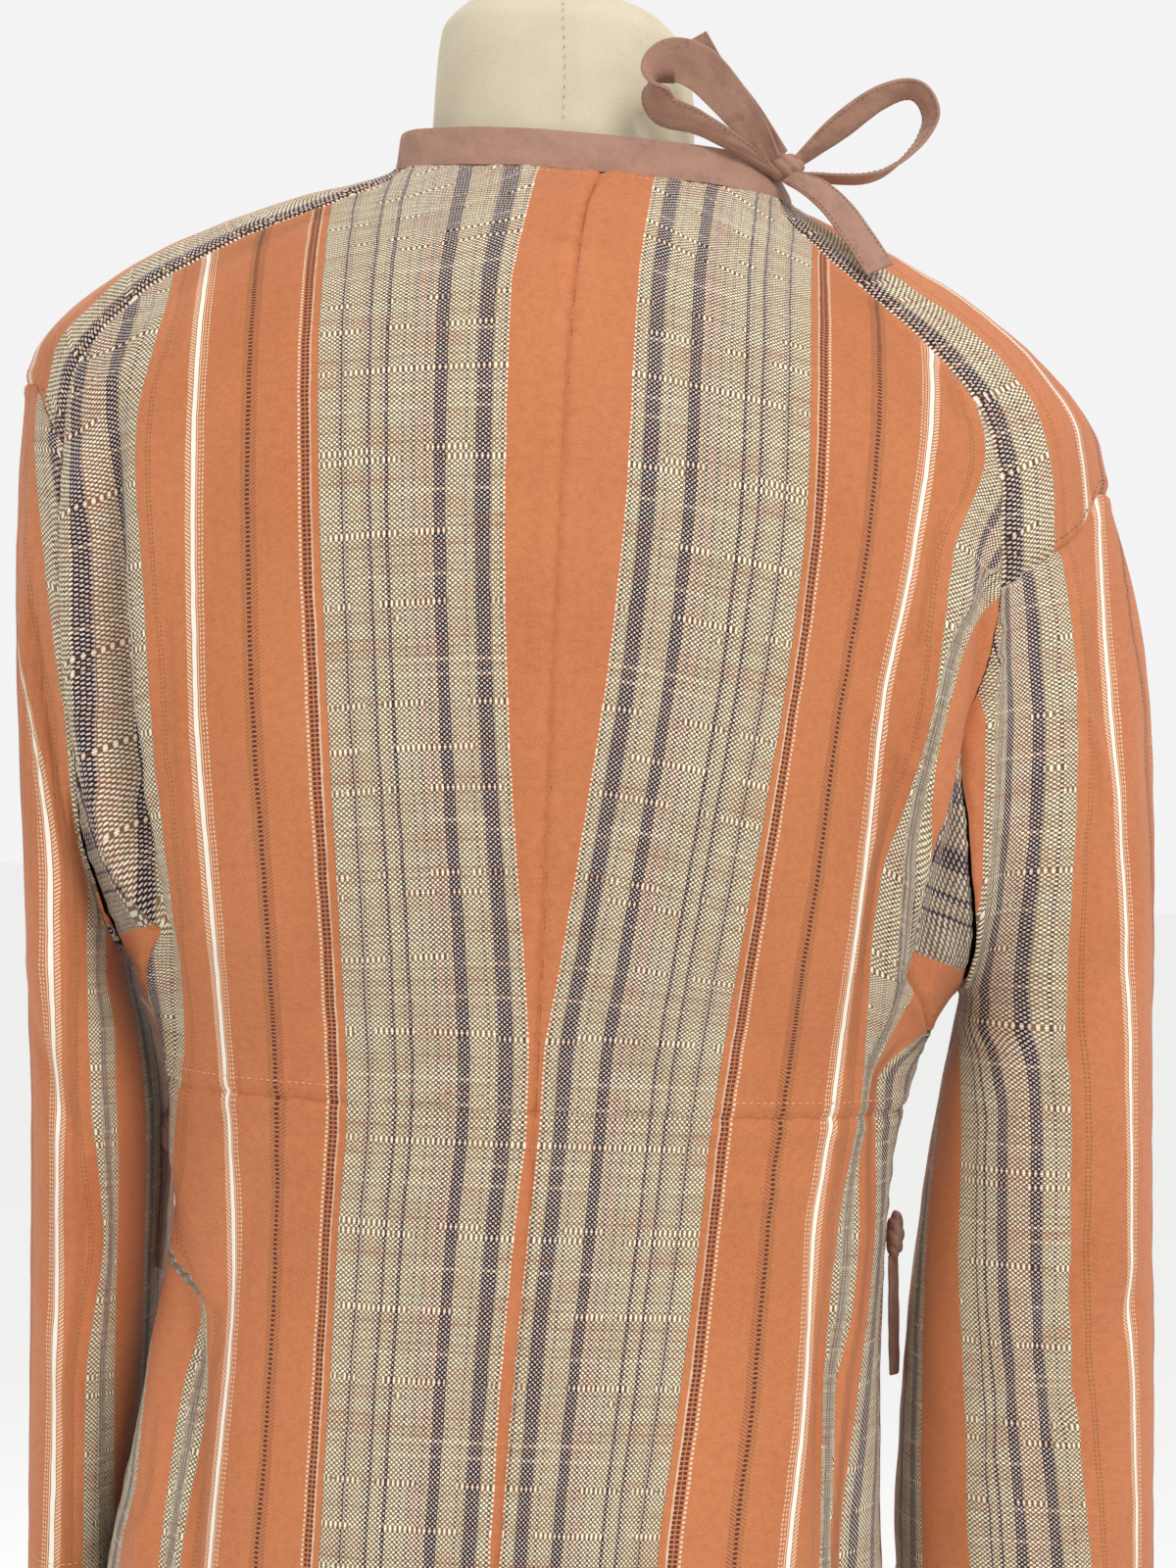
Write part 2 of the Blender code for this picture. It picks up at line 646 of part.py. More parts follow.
# Ties: stations give the middle of the strip, its width, and the direction of its width
Station = namedtuple("Station", "x y z width side_x side_y side_z")
BOW_TURN = 70
BOW_Z = 1.484
KNOT_SIZE = (0.0085, 0.0062, 0.0075)
KNOT_OFFSET = 0.0084
BOW = {
    "bow_loop_left": (
        Station(0.0940, -0.0245, 1.4885, 0.007, 0.3, -0.5, 0.8),
        Station(0.0820, -0.0380, 1.5030, 0.016, 0.6, -0.3, 0.7),
        Station(0.0600, -0.0460, 1.5240, 0.021, 0.6, -0.3, 0.7),
        Station(0.0440, -0.0460, 1.5290, 0.021, 0.2, -0.4, 0.9),
        Station(0.0360, -0.0420, 1.5190, 0.021, 0.1, -0.6, 0.8),
        Station(0.0410, -0.0395, 1.5070, 0.017, 0.2, -0.6, 0.8),
        Station(0.0580, -0.0395, 1.5010, 0.012, 0.3, -0.5, 0.8),
        Station(0.0790, -0.0355, 1.4915, 0.008, 0.3, -0.5, 0.8),
        Station(0.0940, -0.0240, 1.4815, 0.005, 0.3, -0.5, 0.8),
    ),
    "bow_loop_right": (
        Station(0.1110, -0.0222, 1.4890, 0.007, -0.3, -0.7, 0.7),
        Station(0.1280, -0.0250, 1.5050, 0.014, -0.4, -0.6, 0.7),
        Station(0.1480, -0.0230, 1.5210, 0.014, -0.3, -0.7, 0.6),
        Station(0.1650, -0.0200, 1.5260, 0.013, 0.2, -0.8, 0.5),
        Station(0.1730, -0.0190, 1.5140, 0.013, 0.5, -0.8, 0.2),
        Station(0.1640, -0.0210, 1.4960, 0.012, 0.4, -0.9, 0.1),
        Station(0.1440, -0.0240, 1.4820, 0.011, 0.2, -0.9, 0.2),
        Station(0.1112, -0.0225, 1.4800, 0.006, 0.1, -0.8, 0.4),
    ),
    "bow_tail_up": (
        Station(0.1000, -0.0215, 1.4938, 0.007, 0.8, 0.0, 0.4),
        Station(0.0840, -0.0240, 1.5120, 0.010, 0.8, 0.0, 0.5),
        Station(0.0670, -0.0250, 1.5310, 0.010, 0.9, 0.0, 0.3),
        Station(0.0570, -0.0260, 1.5470, 0.009, 1.0, 0.0, 0.2),
    ),
    "bow_tail_down": (
        Station(0.1055, -0.0252, 1.4788, 0.009, 0.8, 0.2, 0.6),
        Station(0.1150, -0.0430, 1.4720, 0.013, 0.8, 0.2, 0.6),
        Station(0.1260, -0.0550, 1.4600, 0.015, 0.9, 0.2, 0.4),
        Station(0.1370, -0.0630, 1.4440, 0.015, 0.95, 0.2, 0.3),
        Station(0.1470, -0.0700, 1.4280, 0.015, 0.95, 0.2, 0.3),
    ),
}
RIBBON_STEPS = 3


def curve_through(stations):
    """Points between the stations on a smooth curve, each with all of a station's values."""
    made = []
    for i in range(len(stations) - 1):
        ends = [stations[max(0, min(len(stations) - 1, k))] for k in (i - 1, i, i + 1, i + 2)]
        for step in range(RIBBON_STEPS):
            t = step / RIBBON_STEPS
            values = []
            for a, b, c, d in zip(*ends):
                turn = (c - a) * t + (2 * a - 5 * b + 4 * c - d) * t * t + (3 * b - a - 3 * c + d) * t**3
                values.append(b + turn / 2)
            made.append(Station(*values))
    return made + [stations[-1]]


def ribbon(name, stations, finish):
    line = curve_through(stations)
    rings = []
    for i, here in enumerate(line):
        after, before = line[min(i + 1, len(line) - 1)], line[max(i - 1, 0)]
        run = Vector((after.x - before.x, after.y - before.y, after.z - before.z)).normalized()
        across = Vector((here.side_x, here.side_y, here.side_z))
        across = (across - run * across.dot(run)).normalized() * (here.width / 2)
        thick = run.cross(across).normalized() * (RIBBON_THICKNESS / 2)
        middle = Vector((here.x, here.y, here.z))
        near, far = middle + across, middle - across
        rings.append([near + thick, far + thick, far - thick, near - thick])
    loft(name, rings, finish)


def knot(name, centre, size, finish):
    bpy.ops.mesh.primitive_uv_sphere_add(segments=12, ring_count=8, radius=1.0)
    made = bpy.context.active_object
    mesh = made.data
    for vertex in mesh.vertices:
        vertex.co = Vector([c * s for c, s in zip(vertex.co, size)]) + centre
    bpy.data.objects.remove(made)
    add_object(name, mesh, finish)


SIDE_TIES = {"tie_right": (97, 0.957, OVERLAP_STEP - 0.0005), "tie_left": (-97, 0.995, 0.0001)}
SIDE_KNOT_SIZE = (0.0048, 0.0090, 0.0125)
SIDE_TAIL_WIDTH = 0.009
TailRow = namedtuple("TailRow", "drop lean ahead")
SIDE_TAIL = (
    TailRow(0.000, 0.0000, 0.000), TailRow(0.022, 0.0014, 0.002), TailRow(0.043, 0.0028, 0.005),
    TailRow(0.062, 0.0040, 0.006),
)


def ties(finish):
    centre = body_point(BOW_TURN, BOW_Z, CLOTH_WALL + KNOT_OFFSET)
    knot("bow_knot", centre, KNOT_SIZE, finish)
    for name, stations in BOW.items():
        ribbon(name, stations, finish)
    for name, (turn, z, step) in SIDE_TIES.items():
        centre = body_point(turn, z, step + CLOTH_WALL + SIDE_KNOT_SIZE[0])
        knot(name + "_knot", centre, SIDE_KNOT_SIZE, finish)
        top = centre - Vector((0, 0, SIDE_KNOT_SIZE[2] + SEAM_GAP + 0.0002))
        stations = []
        for row in SIDE_TAIL:
            x = top.x + math.copysign(row.lean, centre.x)
            stations.append(Station(x, top.y + row.ahead, top.z - row.drop, SIDE_TAIL_WIDTH, 0.1, 1.0, 0.0))
        ribbon(name + "_tail", stations, finish)


# Dress form and stand
FORM_EXTRA_LEVELS = [1.443, 1.417, 1.330, 1.250, 1.150, 1.060]
FORM_POWER = 0.92


def form_ring(section, count=24):
    ring = []
    for i in range(count):
        turn = 2 * math.pi * i / count
        depth = section.back if math.cos(turn) > 0 else section.front
        x = section.shift + section.half * power_of(math.sin(turn), FORM_POWER)
        y = section.forward - depth * power_of(math.cos(turn), FORM_POWER)
        point = Vector((x, y, section.z))
        ring.append(tilted(point) if section.z < NECK_Z else point - Vector((0, 0, SHOULDER_TILT * x)))
    return ring


def dress_form(finish):
    rings = []
    for z in sorted([row.z for row in FORM] + FORM_EXTRA_LEVELS, reverse=True):
        rings.append(form_ring(FormSection(z, *(column(FORM, name, z) for name in FormSection._fields[1:]))))
    loft("form_torso", rings, finish)


def stand(steel, iron):
    foot = FORM_FOOT_Z - SEAM_GAP
    top = BASE_HEIGHT + COLLAR_HEIGHT
    bpy.ops.mesh.primitive_cylinder_add(
        vertices=24, radius=POLE_RADIUS, depth=foot - top - SEAM_GAP,
        location=(0, 0, (foot + top + SEAM_GAP) / 2),
    )
    take("stand_pole", steel)
    bpy.ops.mesh.primitive_cone_add(
        vertices=48, radius1=BASE_RADIUS, radius2=BASE_TOP_RADIUS, depth=BASE_HEIGHT,
        location=(0, 0, BASE_HEIGHT / 2),
    )
    take("stand_base", iron)
    bpy.ops.mesh.primitive_cone_add(
        vertices=32, radius1=COLLAR_FOOT_RADIUS, radius2=COLLAR_TOP_RADIUS, depth=COLLAR_HEIGHT - SEAM_GAP,
        location=(0, 0, BASE_HEIGHT + (COLLAR_HEIGHT + SEAM_GAP) / 2),
    )
    take("stand_collar", iron)


def take(name, finish):
    """Moves the primitive just added into the part's collection, with its place in its mesh."""
    made = bpy.context.active_object
    mesh = made.data
    mesh.transform(made.matrix_world)
    bpy.data.objects.remove(made)
    mesh.name = name
    add_object(name, mesh, finish)


clear_scene()
PARTS = new_collection()
stripes = material("striped_cloth", ORANGE, 0.72)
stripes_across = material("gusset_cloth", BEIGE, 0.85)
mauve = material("mauve_cotton", MAUVE, 0.8)
canvas = material("form_canvas", CANVAS, 0.85)
for side in (LEFT, RIGHT):
    back_upper(side, stripes)
    back_lower(side, stripes)
    saddle(side, stripes)
    gusset(side, stripes_across)
    sleeve(side, stripes)
over_front(stripes)
under_front(stripes)
front_binding(mauve)
neck_band(mauve)
ties(mauve)
dress_form(canvas)
stand(material("stand_steel", STEEL, 0.35, 0.9), material("stand_iron", IRON, 0.5, 0.6))
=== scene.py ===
# Striped tunic jacket on a dress form: the worn cloth, its seams and ties, and every finish
import math

import bpy
import numpy as np
from mathutils import Matrix, Vector


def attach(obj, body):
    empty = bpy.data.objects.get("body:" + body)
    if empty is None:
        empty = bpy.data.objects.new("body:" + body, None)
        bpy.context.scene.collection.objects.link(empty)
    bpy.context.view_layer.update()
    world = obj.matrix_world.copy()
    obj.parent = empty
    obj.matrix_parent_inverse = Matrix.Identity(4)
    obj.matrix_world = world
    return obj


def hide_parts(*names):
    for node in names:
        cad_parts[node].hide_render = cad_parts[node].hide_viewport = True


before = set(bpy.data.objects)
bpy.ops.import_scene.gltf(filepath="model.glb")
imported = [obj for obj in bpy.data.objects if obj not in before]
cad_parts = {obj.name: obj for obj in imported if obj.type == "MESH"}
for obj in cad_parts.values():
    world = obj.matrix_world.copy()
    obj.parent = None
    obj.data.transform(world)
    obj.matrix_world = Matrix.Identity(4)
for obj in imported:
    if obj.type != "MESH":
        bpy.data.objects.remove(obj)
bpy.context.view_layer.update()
right, left = 1, -1  # the wearer's sides: right is +X, and the back faces -Y


# Smooth numbers between the rows of a table
def along(keys, values, at):
    keys, values = np.asarray(keys, float), np.asarray(values, float)
    if keys[0] > keys[-1]:
        keys, values = keys[::-1], values[::-1]
    gaps = np.diff(keys)
    slopes = np.diff(values) / gaps
    both = slopes[:-1] * slopes[1:]
    joint = np.where(both > 0, 2 * both / np.where(both > 0, slopes[:-1] + slopes[1:], 1), 0)
    start = np.concatenate([[slopes[0]], joint])
    end = np.concatenate([joint, [slopes[-1]]])
    at = np.clip(at, keys[0], keys[-1])
    i = np.clip(np.searchsorted(keys, at, side="right") - 1, 0, len(gaps) - 1)
    t = (at - keys[i]) / gaps[i]
    rise, lead, tail = values[i + 1] - values[i], start[i] * gaps[i], end[i] * gaps[i]
    return values[i] + t * lead + t * t * (3 * rise - 2 * lead - tail) + t**3 * (lead + tail - 2 * rise)


def read(table, k, at):  # column k of a table, at places in its first column
    return along([row[0] for row in table], [row[k] for row in table], at)


def rounded(value):
    value = np.clip(value, 0, 1)
    return value * value * (3 - 2 * value)


def powered(base, exponent):
    return np.sign(base) * np.abs(base) ** exponent


def bell(distance, width):
    return np.exp(-((distance / width) ** 2))


def murmur(a, b, seed):  # gentle unevenness from a few sines, -1 to 1
    total = 0
    for k, share in enumerate((0.5, 0.3, 0.2)):
        turn = seed * 1.7 + k * 2.4
        pace = 1.9**k
        total = total + share * np.sin(pace * (a * math.cos(turn) + b * math.sin(turn)) + 5.1 * seed + 3 * k)
    return total


# The worn surface. A place on it is a turn in degrees from the centre back, positive to the wearer's right, and a height
body = {
    "neckZ": 1.474,
    "waistZ": 1.025,
    "hemZ": 0.665,
    "cuffZ": 0.765,
    "underarmZ": 1.090,
    "gussetBendZ": 1.070,
    "gussetFootZ": 1.050,
    "frontNeckDrop": 0.055,
    "frontDipStart": 120,
    "shoulderTilt": 0.040,
    "tiltTopZ": 1.300,
    "tiltFootZ": 1.050,
    "wall": 0.0013,
}
bodyRows = (  # height, half width, depth to the back, depth to the front, shift, squareness
    (1.495, 0.0900, 0.037, 0.086, 0.004, 2.15),
    (1.474, 0.0990, 0.048, 0.074, 0.009, 2.15),
    (1.463, 0.1210, 0.060, 0.072, 0.008, 2.15),
    (1.453, 0.1480, 0.069, 0.071, 0.006, 2.15),
    (1.430, 0.1960, 0.084, 0.075, 0.003, 2.20),
    (1.398, 0.2400, 0.097, 0.083, 0.001, 2.20),
    (1.365, 0.2650, 0.106, 0.092, 0.000, 2.25),
    (1.330, 0.2700, 0.112, 0.100, 0.000, 2.30),
    (1.250, 0.2630, 0.118, 0.112, 0.000, 2.30),
    (1.200, 0.2550, 0.118, 0.115, 0.000, 2.30),
    (1.150, 0.2410, 0.114, 0.114, 0.000, 2.30),
    (1.110, 0.2200, 0.110, 0.111, 0.000, 2.30),
    (1.088, 0.2060, 0.107, 0.108, 0.000, 2.30),
    (1.050, 0.1880, 0.103, 0.105, 0.000, 2.30),
    (1.000, 0.1780, 0.101, 0.102, 0.000, 2.30),
    (0.950, 0.1755, 0.103, 0.103, -0.001, 2.30),
    (0.900, 0.1775, 0.109, 0.106, -0.003, 2.30),
    (0.850, 0.1830, 0.116, 0.110, -0.006, 2.30),
    (0.800, 0.1890, 0.121, 0.114, -0.009, 2.30),
    (0.750, 0.1940, 0.124, 0.117, -0.010, 2.30),
    (0.640, 0.2020, 0.128, 0.121, -0.011, 2.30),
)
backEdge = {  # the saddle seam, then the outer edge of the back down to the gusset: height, distance from the centre
    right: (
        (1.474, 0.1000), (1.460, 0.1030), (1.447, 0.1140), (1.421, 0.1430), (1.404, 0.1650), (1.382, 0.1870),
        (1.364, 0.1990), (1.330, 0.2080), (1.288, 0.2110), (1.250, 0.2070), (1.213, 0.1980), (1.148, 0.1800),
        (1.095, 0.1740),
    ),
    left: (
        (1.474, 0.0820), (1.463, 0.0910), (1.450, 0.1080), (1.428, 0.1520), (1.413, 0.1790), (1.393, 0.2060),
        (1.372, 0.2240), (1.345, 0.2370), (1.320, 0.2380), (1.250, 0.2350), (1.180, 0.2260), (1.130, 0.2060),
        (1.095, 0.1860),
    ),
}
joinZ = {right: 1.288, left: 1.320}
gussetTopZ = {right: 1.213, left: 1.180}
armholeCap = {
    right: ((1.340, 0.2600), (1.318, 0.2480), (1.304, 0.2320), (1.288, 0.2110)),
    left: ((1.350, 0.2570), (1.340, 0.2510), (1.330, 0.2450), (1.320, 0.2380)),
}
armholeFoot = {
    right: ((1.213, 0.1980), (1.150, 0.2010), (1.110, 0.2070), (1.094, 0.2060)),
    left: ((1.180, 0.2260), (1.145, 0.2240), (1.110, 0.2120), (1.094, 0.2060)),
}
pointRise = 0.004
creaseRows = (  # side (0 back, 1 front), distance out at the top, middle and foot, top and foot heights, width, depth
    (0, 0.188, 0.176, 0.156, 1.320, 1.050, 0.0100, 0.0075),
    (0, 0.170, 0.160, 0.142, 1.270, 1.040, 0.0120, -0.0035),
    (0, 0.150, 0.156, 0.166, 0.960, 0.700, 0.0120, -0.0050),
    (0, -0.211, -0.205, -0.172, 1.350, 1.065, 0.0075, -0.0150),
    (0, -0.226, -0.221, -0.190, 1.320, 1.100, 0.0085, 0.0080),
    (0, -0.190, -0.184, -0.152, 1.330, 1.080, 0.0130, 0.0040),
    (0, -0.160, -0.166, -0.176, 0.940, 0.700, 0.0110, -0.0050),
    (0, 0.030, 0.012, -0.006, 0.985, 0.860, 0.0130, 0.0030),
    (0, 0.142, 0.130, 0.104, 1.340, 1.120, 0.0150, 0.0018),
    (0, -0.100, -0.090, -0.066, 1.200, 1.040, 0.0160, 0.0016),
    (0, -0.060, -0.078, -0.090, 0.920, 0.720, 0.0180, 0.0022),
    (0, 0.072, 0.086, 0.094, 0.900, 0.700, 0.0170, 0.0020),
    (0, 0.120, 0.138, 0.150, 1.010, 0.860, 0.0090, -0.0022),
    (0, -0.118, -0.140, -0.150, 1.000, 0.860, 0.0090, -0.0022),
    (0, 0.000, 0.030, 0.070, 1.120, 1.045, 0.0120, 0.0014),
    (0, 0.204, 0.196, 0.168, 1.330, 1.050, 0.0065, -0.0090),
    (0, 0.154, 0.146, 0.149, 1.010, 0.760, 0.0060, -0.0060),
    (0, -0.182, -0.152, -0.168, 0.985, 0.700, 0.0065, -0.0065),
    (0, -0.196, -0.176, -0.186, 0.975, 0.700, 0.0080, 0.0040),
    (0, -0.186, -0.182, -0.186, 1.015, 0.930, 0.0090, 0.0036),
    (1, -0.120, -0.060, -0.010, 1.360, 1.060, 0.0160, 0.0045),
    (1, -0.150, -0.100, -0.050, 1.300, 1.040, 0.0130, -0.0040),
    (1, 0.140, 0.120, 0.100, 1.320, 1.080, 0.0150, 0.0035),
    (1, -0.160, -0.150, -0.130, 1.000, 0.720, 0.0140, -0.0040),
    (1, -0.080, -0.060, -0.050, 0.980, 0.700, 0.0170, 0.0040),
    (1, 0.020, 0.034, 0.040, 1.000, 0.740, 0.0150, -0.0030),
    (1, 0.160, 0.150, 0.140, 0.980, 0.720, 0.0130, 0.0035),
)
levelCreases = (  # across: start and end distance, heights at start, middle and end, width, depth
    (-0.030, 0.052, 1.4560, 1.4500, 1.4420, 0.0060, 0.0013),
    (-0.044, 0.030, 1.4370, 1.4310, 1.4260, 0.0070, -0.0012),
    (0.010, 0.070, 1.4290, 1.4330, 1.4300, 0.0060, 0.0010),
    (-0.120, -0.030, 1.0480, 1.0560, 1.0620, 0.0070, 0.0014),
    (0.030, 0.120, 1.0640, 1.0560, 1.0440, 0.0070, 0.0014),
    (-0.150, -0.060, 1.0040, 0.9960, 0.9960, 0.0080, 0.0016),
    (0.040, 0.150, 0.9980, 0.9900, 1.0000, 0.0080, 0.0018),
    (0.125, 0.200, 1.2450, 1.2050, 1.1500, 0.0080, 0.0020),
    (-0.215, -0.140, 1.1300, 1.1750, 1.2200, 0.0080, 0.0018),
)


def tabled(name, z):
    k = ("z", "half", "back", "front", "shift", "power").index(name)
    return read(bodyRows, k, z)


def plainPoint(turn, z):
    sine, cosine = np.sin(np.radians(turn)), np.cos(np.radians(turn))
    exponent = 2 / tabled("power", z)
    depth = np.where(cosine > 0, tabled("back", z), tabled("front", z))
    x = tabled("shift", z) + tabled("half", z) * powered(sine, exponent)
    share = rounded((z - body["tiltFootZ"]) / (body["tiltTopZ"] - body["tiltFootZ"]))
    return np.stack([x, -depth * powered(cosine, exponent), z - body["shoulderTilt"] * x * share], axis=-1)


def outward(turn, z):
    around = plainPoint(turn + 1.5, z) - plainPoint(turn - 1.5, z)
    upward = plainPoint(turn, z + 0.003) - plainPoint(turn, z - 0.003)
    normal = np.cross(around, upward)
    return normal / np.linalg.norm(normal, axis=-1, keepdims=True)


def creased(turn, z):
    x = plainPoint(turn, z)[..., 0]
    cosine = np.cos(np.radians(turn))
    total = np.zeros_like(x)
    for face, top, middle, foot, zTop, zFoot, width, depth in creaseRows:
        share = (zTop - z) / (zTop - zFoot)
        line = top + (foot - top) * share + (4 * middle - 2 * top - 2 * foot) * share * (1 - share)
        fade = np.where((share > 0) & (share < 1), np.sin(np.pi * np.clip(share, 0, 1)), 0) ** 0.6
        fade = fade * np.where(cosine > -0.2, 1.0, 0.0) if face == 0 else fade * np.where(cosine < 0.1, 1.0, 0.0)
        total += depth * fade * bell(x - line, width * (1 + 0.25 * murmur(z * 40, 0 * z, foot * 90)))
    for start, end, zStart, zMiddle, zEnd, width, depth in levelCreases:
        share = (x - start) / (end - start)
        line = zStart + (zEnd - zStart) * share + (4 * zMiddle - 2 * zStart - 2 * zEnd) * share * (1 - share)
        fade = np.where((share > 0) & (share < 1), np.sin(np.pi * np.clip(share, 0, 1)), 0)
        total += depth * fade * bell(z - line, width) * np.where(cosine > 0, 1.0, 0.0)
    total += 0.0006 * murmur(x * 60, z * 34, 2.3) + 0.00035 * murmur(x * 150, z * 110, 4.1)
    return total


def bodyPoint(turn, z, out=0.0):
    turn, z = np.asarray(turn, float), np.asarray(z, float)
    return plainPoint(turn, z) + outward(turn, z) * (out + creased(turn, z))[..., None]


def turnAt(out, z, side):
    reach = (out - side * tabled("shift", z)) / tabled("half", z)
    return np.degrees(np.arcsin(np.clip(reach, 0, 1) ** (tabled("power", z) / 2)))


def neckZ(turn):
    away = np.abs((np.asarray(turn) + 180) % 360 - 180)
    dip = rounded((away - body["frontDipStart"]) / (180 - body["frontDipStart"]))
    return body["neckZ"] - body["frontNeckDrop"] * dip


# Seams, as rows of turn and height
def seam(side, table, top, foot, count):
    z = np.linspace(top, foot, count)
    out = read(table, 1, z)
    return np.stack([turnAt(out, z, side), z], axis=-1)


def resampled(line, count):  # the same line with evenly spaced points
    step = np.linalg.norm(np.diff(plainPoint(line[:, 0], line[:, 1]), axis=0), axis=1)
    reach = np.concatenate([[0], np.cumsum(step)])
    at = np.linspace(0, reach[-1], count)
    return np.stack([np.interp(at, reach, line[:, k]) for k in (0, 1)], axis=-1)


def saddleSeam(side, count=60):
    return seam(side, backEdge[side], body["neckZ"], joinZ[side], count)


def backOuter(side):  # the outer edge of the upper back below the saddle seam, down to the waist
    armhole = seam(side, backEdge[side], joinZ[side], 1.095, 50)
    foot = [((armhole[-1, 0] + 90) / 2, body["gussetBendZ"]), (90, body["gussetFootZ"]), (90, body["waistZ"])]
    return np.concatenate([armhole, foot])


def gussetOuter(side):
    edge = seam(side, backEdge[side], gussetTopZ[side], 1.095, 24)
    return np.concatenate([edge, [((edge[-1, 0] + 90) / 2, body["gussetBendZ"]), (90, body["gussetFootZ"])]])


def gussetInner(side):
    edge = seam(side, armholeFoot[side], gussetTopZ[side], 1.094, 24)
    return np.concatenate([edge, [(90, body["underarmZ"])]])


def capSeam(side):
    table = armholeCap[side]
    edge = seam(side, table, table[0][0], joinZ[side], 24)
    return np.concatenate([[(90, table[0][0] + pointRise)], edge])


def mirrored(line):
    return np.stack([180 - line[::-1, 0], line[::-1, 1]], axis=-1)


def patch(start, end, first, last):  # a grid of turns and heights between four seams
    v = np.linspace(0, 1, len(start))[:, None, None]
    u = np.linspace(0, 1, len(first))[None, :, None]
    sides = (1 - u) * start[:, None] + u * end[:, None]
    ends = (1 - v) * first[None] + v * last[None]
    corners = (1 - v) * ((1 - u) * first[0] + u * first[-1]) + v * ((1 - u) * last[0] + u * last[-1])
    return sides + ends - corners


# Meshes
def deselectAll():
    bpy.ops.object.select_all(action="DESELECT")


def selectOnly(piece):
    deselectAll()
    piece.select_set(True)
    bpy.context.view_layer.objects.active = piece


def finished(piece, finish, nodes, angle=50):
    piece.data.materials.clear()
    piece.data.materials.append(finish)
    selectOnly(piece)
    bpy.ops.object.shade_smooth_by_angle(angle=math.radians(angle))
    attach(piece, "root")
    if nodes:
        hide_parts(*nodes)
    return piece


def applyModifier(piece, kind, **values):
    modifier = piece.modifiers.new(kind.title(), kind)
    for name, value in values.items():
        setattr(modifier, name, value)
    selectOnly(piece)
    bpy.ops.object.modifier_apply(modifier=modifier.name)


def triples(elements, name):  # a vector of every vertex or face, as rows
    flat = np.empty(len(elements) * 3)
    elements.foreach_get(name, flat)
    return flat.reshape(-1, 3)


# A grid primitive laid on a table of points. Its UV map is the weave: metres across the stripes and along them
def laidGrid(name, points, weave, facing, wall, closed=False):
    rows, columns = points.shape[:2]
    deselectAll()
    bpy.ops.mesh.primitive_grid_add(x_subdivisions=columns - 1, y_subdivisions=rows - 1, size=2, calc_uvs=True)
    piece = bpy.context.active_object
    piece.name = name
    mesh = piece.data
    flat = triples(mesh.vertices, "co")
    j = np.rint((flat[:, 0] + 1) / 2 * (columns - 1)).astype(int)
    i = np.rint((flat[:, 1] + 1) / 2 * (rows - 1)).astype(int)
    mesh.vertices.foreach_set("co", points[i, j].reshape(-1))
    corners = np.empty(len(mesh.loops), int)
    mesh.loops.foreach_get("vertex_index", corners)
    mesh.uv_layers.active.data.foreach_set("uv", weave[i, j][corners].reshape(-1))
    mesh.update()
    centres = triples(mesh.polygons, "center")
    if ((centres - facing(centres)) * triples(mesh.polygons, "normal")).sum() < 0:
        mesh.flip_normals()
    if closed:
        bpy.ops.object.mode_set(mode="EDIT")
        bpy.ops.mesh.select_all(action="SELECT")
        bpy.ops.mesh.remove_doubles(threshold=0.00002)
        bpy.ops.object.mode_set(mode="OBJECT")
    if wall:
        applyModifier(piece, "SOLIDIFY", thickness=wall, offset=1.0)
    return piece


def bodyMiddle(centres):
    return np.stack([0 * centres[:, 0], 0 * centres[:, 1], centres[:, 2] - 0.05], axis=-1)


def lengthsAcross(points):  # metres from the first column along each row
    step = np.linalg.norm(np.diff(points, axis=1), axis=-1)
    return np.concatenate([np.zeros((len(points), 1)), np.cumsum(step, axis=1)], axis=1)


def lengthsDown(points):
    return lengthsAcross(points.swapaxes(0, 1)).T


relief = {"valley": 0.0016, "valleyWidth": 0.0022, "pucker": 0.0006, "puckerAway": 0.0055, "puckerWidth": 0.0045}


def seamRelief(points, seams, seed):  # a valley along each seamed edge, with puckers beside it
    across, down = lengthsAcross(points), lengthsDown(points)
    distances = {
        "start": (across, down), "end": (across[:, -1:] - across, down),
        "top": (down, across), "foot": (down[-1:] - down, across),
    }
    total = np.zeros(points.shape[:2])
    for name in seams:
        away, run = distances[name]
        total -= relief["valley"] * bell(away, relief["valleyWidth"]) * (1 + 0.3 * murmur(run * 500, away * 0, seed))
        pucker = relief["pucker"] * bell(away - relief["puckerAway"], relief["puckerWidth"])
        total += pucker * (1 + murmur(run * 420, away * 90, seed + 2))
    return total


def sheetSize(points):
    width = float(lengthsAcross(points)[:, -1].max())
    length = float(lengthsDown(points)[-1].max())
    a, b = points[1:, 1:] - points[:-1, :-1], points[1:, :-1] - points[:-1, 1:]
    area = float(np.linalg.norm(np.cross(a, b), axis=-1).sum() / 2)
    return (round(width, 3), round(length, 3)), round(min(area, width * length * 0.999), 4)


def clothPanel(name, grid, side, weave, seams, seed, lift=0.0, finish=None):
    turns, z = side * grid[..., 0], grid[..., 1]
    base = bodyPoint(turns, z, lift)
    points = base + outward(turns, z) * seamRelief(base, seams, seed)[..., None]
    piece = laidGrid(name, points, weave(base), bodyMiddle, body["wall"])
    flat, area = sheetSize(base)
    finished(piece, finish or striped, [name.replace("cloth_", "")])


